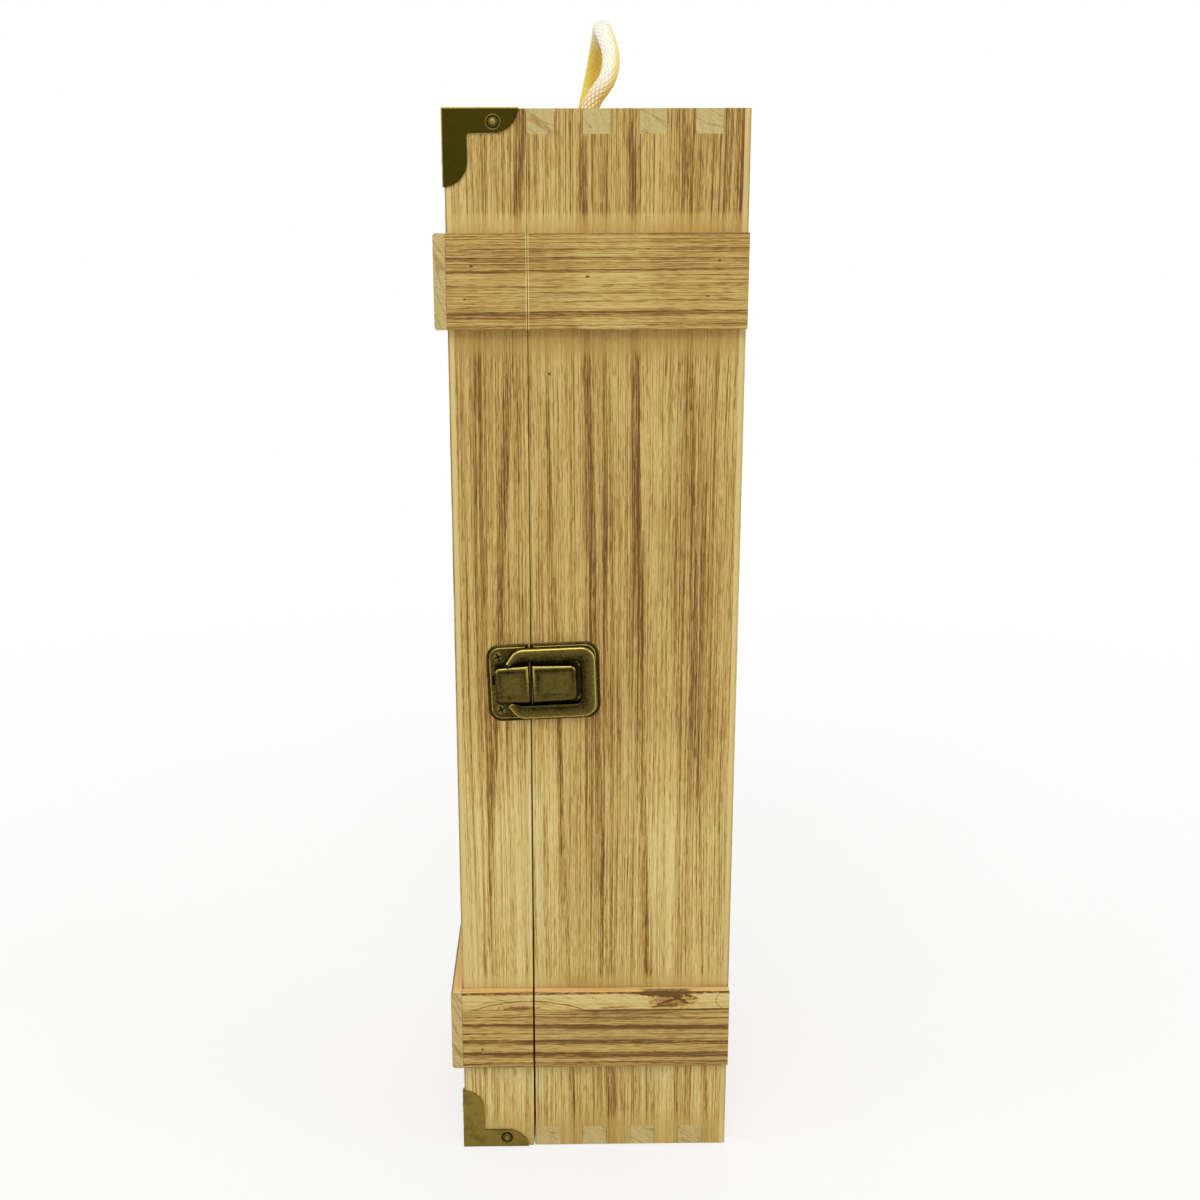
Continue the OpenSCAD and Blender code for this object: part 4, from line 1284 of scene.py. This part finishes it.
# The loop from its near leg to its far one: shares of the bow, of half the pitch and of the rise
LOOP = [
    (0, -1, 0), (0.29, -1, 0.13), (0.82, -1, 0.29), (1.04, -0.97, 0.43), (1.08, -0.9, 0.57), (1, -0.77, 0.7),
    (0.85, -0.57, 0.84), (0.75, -0.3, 0.95), (0.71, 0, 1), (0.7, 0.32, 0.96), (0.64, 0.61, 0.86), (0.52, 0.84, 0.71),
    (0.33, 0.97, 0.51), (0.12, 1, 0.3), (0, 1, 0.14), (0, 1, 0),
]


def curve_through(points, step):
    """A smooth curve through these points, as points that are about step apart."""
    dense = []
    last = len(points) - 1
    for i in range(last):
        a, b, c, d = (points[max(0, min(last, i + k))] for k in (-1, 0, 1, 2))
        for j in range(24):
            t = j / 24
            bend, twist = 2 * a - 5 * b + 4 * c - d, 3 * b - a - 3 * c + d
            dense.append(0.5 * (2 * b + (c - a) * t + bend * t**2 + twist * t**3))
    dense.append(points[last])
    total = sum((q - p).length for p, q in zip(dense, dense[1:]))
    count = max(2, round(total / step))
    even, walked, k = [dense[0]], 0.0, 0
    for i in range(1, count):
        goal = total * i / count
        while walked + (dense[k + 1] - dense[k]).length < goal:
            walked += (dense[k + 1] - dense[k]).length
            k += 1
        even.append(dense[k].lerp(dense[k + 1], (goal - walked) / (dense[k + 1] - dense[k]).length))
    even.append(dense[-1])
    return even, total


def braid(bm, path, length, radius, plait, sides=96, tips=(False, False), tone=None):
    """A braided tube round path. Each strand passes over one and under the next. tips says which ends are round."""
    crown, yarn, shade = (vertex_layer(bm, name) for name in ("crown", "yarn", "shade"))
    tangent = (path[1] - path[0]).normalized()
    side = tangent.orthogonal().normalized()
    rings = []
    count = len(path)
    step = length / (count - 1)
    for i, point in enumerate(path):
        ahead = (path[min(i + 1, count - 1)] - path[max(i - 1, 0)]).normalized()
        turn = tangent.rotation_difference(ahead)
        side = (turn @ side).normalized()
        side = (side - ahead * side.dot(ahead)).normalized()
        tangent = ahead
        other = tangent.cross(side)
        s = i * step
        ring = []
        from_end = min(i if tips[0] else count, count - 1 - i if tips[1] else count) * step
        shrink = math.sqrt(1 - (1 - from_end / radius) ** 2) if from_end < radius else 1.0
        for k in range(sides):
            a = STRANDS * k / sides + s / plait
            b = STRANDS * k / sides - s / plait
            fa, fb = a % 1 - 0.5, b % 1 - 0.5
            if (math.floor(a) + math.floor(b)) % 2:
                fa, fb = fb, fa
            high = (1 - (2 * fa) ** 2 * 0.95) * (1 - (2 * fb) ** 2 * 0.45)
            angle = math.tau * k / sides
            r = (radius - STRAND_RISE * (1 - high)) * max(shrink, 0.02)
            v = bm.verts.new(point + (side * math.cos(angle) + other * math.sin(angle)) * r)
            v[crown] = high
            v[yarn] = fa
            v[shade] = tone(i / (count - 1), (v.co - point).normalized()) if tone else 0.0
            ring.append(v)
        rings.append(ring)
    for low, high in zip(rings, rings[1:]):
        for k in range(sides):
            bm.faces.new((low[k], low[(k + 1) % sides], high[(k + 1) % sides], high[k]))
    bm.faces.new(rings[0][::-1])
    bm.faces.new(rings[-1])


def rope_material(rope):
    n = Shade("Braided rope")
    crown, yarn, shade = (n.attribute(name) for name in ("crown", "yarn", "shade"))
    x, y, z = n.place()
    fuzz = n.noise(x * 4, y * 4, z * 4, 3, 0.6)
    threads = n.calc("SINE", yarn * (math.tau * 4))
    # painted shade: the braid's hollows, and what the shade attribute marks, are painted amber
    hollow = n.step(crown, 0.55, 0.05, 0, 0.3) + fuzz * 0.12 + threads * 0.02
    colour = n.mix(n.calc("ADD", hollow, shade, clamp=True), rope.cream, rope.amber)
    # painted shade: near the board, the gaps between the strands are painted amber
    near_board = n.step(z, CASE_H + 15, CASE_H + 5, 0, 0.9)
    gaps = n.step(crown + fuzz * 0.6, 0.82, 0.5)
    colour = n.mix(gaps * near_board, colour, linear(226, 184, 74))
    # painted shade: the deepest hollows are painted a darker amber, less where the shade attribute is high
    colour = n.mix(n.step(crown, 0.25, 0.0, 0, 0.3) * (shade * -0.2 + 0.5), colour, linear(220, 168, 62))
    height = threads * 0.4 + fuzz * 0.6
    n.shader.inputs["Sheen Weight"].default_value = 0.25
    n.shader.inputs["Sheen Roughness"].default_value = 0.4
    n.shader.inputs["Subsurface Weight"].default_value = 0.3
    n.shader.inputs["Subsurface Scale"].default_value = 1.5 * MM
    return n.finish(colour, 0.72, height, 0.05 * MM, specular=0.25)


class WINEBOX_OT_rope(bpy.types.Operator):
    """Rope handle: the braided loop through the top board, and its knots and tails inside"""

    bl_idname = "winebox.rope"
    bl_label = "Rope handle"

    def execute(self, context):
        rope = context.scene.wine_box_rope
        material = rope_material(rope)
        loop = [Vector((ROPE_X + b * LOOP_BOW, h * HOLE_Y, HANDLE_Z + r * LOOP_RISE)) for b, h, r in LOOP]
        ends = [[Vector((ROPE_X, s * HOLE_Y, z)) for z in IN_BOARD] for s in (-1, 1)]
        path, length = curve_through(ends[0] + loop + ends[1][::-1], BRAID_STEP)

        def shaded(t, out):
            # painted shade: the far leg is painted amber on its inner half, the near one only along its tray side and
            # near the board
            far = clamped((t - 0.5) / 0.12) * clamped((0.8 - out.y) / 0.6)
            side = clamped((out.x - 0.2) / 0.4) * clamped(1.3 - t * 1.8)
            return max(0.95 * far, 0.9 * side)

        bm = bmesh.new()
        braid(bm, path, length, rope.diameter / MM / 2 - 0.05, rope.plait / MM, tone=shaded)
        bmesh.ops.recalc_face_normals(bm, faces=bm.faces)
        made = piece("rope_handle", bm, [material], None, ["rope_loop"], "rope", 180)
        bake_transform(made)
        knots = bmesh.new()
        for s in (-1, 1):
            turns = [(0, 0, 0), (0.4, 0, -1.6)]
            for i in range(KNOT_POINTS):
                a = math.tau * i / POINTS_A_TURN * s
                turns.append((KNOT_R * math.cos(a), KNOT_R * math.sin(a), -2.9 - 5.2 * i / (KNOT_POINTS - 1)))
            turns += [(0.6, 0, -10.2), (0.3, 0, -12.5), (0, 0, -20.6)]
            top = Vector((ROPE_X, s * HOLE_Y, KNOT_TOP))
            line, total = curve_through([top + Vector(turn) for turn in turns], 0.3)
            braid(knots, line, total, KNOT_ROPE_R, rope.plait / MM, sides=72, tips=(False, True))
        bmesh.ops.recalc_face_normals(knots, faces=knots.faces)
        tied = piece("rope_knots", knots, [material], "tray", ["rope_ends"], "rope", 180)
        length * MM
        [tuple(p * MM) for p in path[::4] + [path[-1]]]
        return {"FINISHED"}


# ---- Stage ----

# The photograph's camera: place in millimetres, angles in degrees, and the lens in pixels of its frame
FRAME_PX = 1200
LENS_PX = 1319.111
CAMERA_AT = (-16.608, -480.722, 302.563)
YAW, PITCH, ROLL = 0.603, 12.81, -0.23
SHIFT_PX = 40
SENSOR_MM = 36
WHITE = (1, 1, 1)
# The floor is its own colour up to the first distance from the middle, and plain white from the second
FLOOR_SHADED, FLOOR_WHITE = 120, 900


def camera_matrix():
    yaw, pitch, roll = (math.radians(a) for a in (YAW, PITCH, ROLL))
    forward = Vector((math.sin(yaw) * math.cos(pitch), math.cos(yaw) * math.cos(pitch), -math.sin(pitch)))
    right = Vector((math.cos(yaw), -math.sin(yaw), 0))
    up = right.cross(forward)
    right, up = right * math.cos(roll) + up * math.sin(roll), up * math.cos(roll) - right * math.sin(roll)
    turn = Matrix((right, up, -forward)).transposed().to_4x4()
    return Matrix.Translation(Vector(CAMERA_AT) * MM) @ turn


def lamp(name, at, target, size, power):
    data = bpy.data.lights.new(name, "AREA")
    data.shape = "RECTANGLE"
    data.size, data.size_y = size
    data.energy = power
    obj = bpy.data.objects.new(name, data)
    bpy.context.scene.collection.objects.link(obj)
    obj.location = at
    obj.rotation_mode = "QUATERNION"
    obj.rotation_quaternion = (Vector(target) - Vector(at)).to_track_quat("-Z", "Y")


class WINEBOX_OT_stage(bpy.types.Operator):
    """White floor and background, soft lamps and the camera"""

    bl_idname = "winebox.stage"
    bl_label = "Stage"

    def execute(self, context):
        stage = context.scene.wine_box_stage
        scene = context.scene
        scene.view_settings.view_transform = "Standard"
        data = bpy.data.cameras.new("Camera")
        data.sensor_width = SENSOR_MM
        data.lens = LENS_PX / FRAME_PX * SENSOR_MM
        data.shift_x = SHIFT_PX / FRAME_PX
        data.clip_start, data.clip_end = 0.01, 50
        camera = bpy.data.objects.new("Camera", data)
        scene.collection.objects.link(camera)
        camera.matrix_world = camera_matrix()
        scene.camera = camera

        # lit surfaces see a soft grey-white world, the camera, reflections and clear things see plain white
        world = bpy.data.worlds.new("White surround")
        scene.world = world
        w = Nodes(world)
        ray = w.add("ShaderNodeLightPath").outputs
        direct = w.calc("ADD", ray["Is Camera Ray"], ray["Is Glossy Ray"])
        direct = w.calc("ADD", direct, ray["Is Transmission Ray"], clamp=True)
        strength = w.add("ShaderNodeMapRange", direct, 0, 1, stage.world, 1).outputs[0]
        w.add("ShaderNodeOutputWorld", w.add("ShaderNodeBackground", WHITE, strength).outputs[0])

        # the floor: mostly plain white to the camera, with the box's soft shadow on it
        bm = bmesh.new()
        bmesh.ops.create_grid(bm, x_segments=1, y_segments=1, size=6)
        mesh = bpy.data.meshes.new("Floor")
        bm.to_mesh(mesh)
        bm.free()
        floor = bpy.data.objects.new("Floor", mesh)
        scene.collection.objects.link(floor)
        floor.location.z = -0.2 * MM
        n = Shade("White floor")
        x, y, _ = n.place()
        grain = n.noise(x * 0.01, y * 0.01, 0.0)
        n.finish(n.mix(n.step(grain, -0.2, 0.2, 0, 0.3), stage.floor, linear(250, 250, 249)), 0.8, specular=0.1)
        glow = n.add("ShaderNodeEmission", WHITE).outputs[0]
        far = n.calc("SQRT", x * x + y * y)
        show = n.calc(
            "MULTIPLY", n.add("ShaderNodeLightPath").outputs["Is Camera Ray"],
            n.step(far, FLOOR_SHADED, FLOOR_WHITE, 0.68, 1.0),
        )
        blend = n.add("ShaderNodeMixShader", show, n.shader.outputs[0], glow)
        n.put(n.output.inputs[0], blend.outputs[0])
        mesh.materials.append(n.material)

        lamp("Key", (-0.25, -1.5, 1.7), (0, 0, 0.2), (1.6, 1.2), stage.key)
        lamp("Left", (-1.7, -0.6, 0.8), (0, 0, 0.2), (0.9, 1.4), stage.side)
        lamp("Right", (1.7, -0.5, 0.8), (0, 0, 0.2), (0.9, 1.4), stage.side)
        lamp("Back", (0.3, 1.7, 1.2), (0, 0, 0.2), (1.4, 1.2), stage.side)
        return {"FINISHED"}


# ---- Panel and start ----

STEPS = ("stage", "rope", "case", "panels", "battens", "brackets", "nails", "latch", "hinges")


class WINEBOX_PT_panel(bpy.types.Panel):
    bl_idname = "WINEBOX_PT_panel"
    bl_label = "Wine box"
    bl_space_type = "VIEW_3D"
    bl_region_type = "UI"
    bl_category = "Wine Box"

    def draw(self, context):
        for step in STEPS:
            self.layout.operator("winebox." + step)
        for group in ("wood", "metal", "rope", "stage"):
            settings = getattr(context.scene, "wine_box_" + group)
            box = self.layout.box()
            box.label(text=group.capitalize())
            for name in settings.bl_rna.properties.keys():
                if name not in ("name", "rna_type"):
                    box.prop(settings, name)


CLASSES = (
    WineBoxWood, WineBoxMetal, WineBoxRope, WineBoxStage, WINEBOX_OT_stage, WINEBOX_OT_rope, WINEBOX_OT_case,
    WINEBOX_OT_panels, WINEBOX_OT_battens, WINEBOX_OT_brackets, WINEBOX_OT_nails, WINEBOX_OT_latch,
    WINEBOX_OT_hinges, WINEBOX_PT_panel,
)
GROUPS = {"wood": WineBoxWood, "metal": WineBoxMetal, "rope": WineBoxRope, "stage": WineBoxStage}


def register():
    for one in CLASSES:
        bpy.utils.register_class(one)
    for name, group in GROUPS.items():
        setattr(bpy.types.Scene, "wine_box_" + name, bpy.props.PointerProperty(type=group))


def unregister():
    for name in GROUPS:
        delattr(bpy.types.Scene, "wine_box_" + name)
    for one in reversed(CLASSES):
        bpy.utils.unregister_class(one)


def main():
    register()
    for step in STEPS:
        getattr(bpy.ops.winebox, step)()
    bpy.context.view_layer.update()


if __name__ == "__main__":
    main()
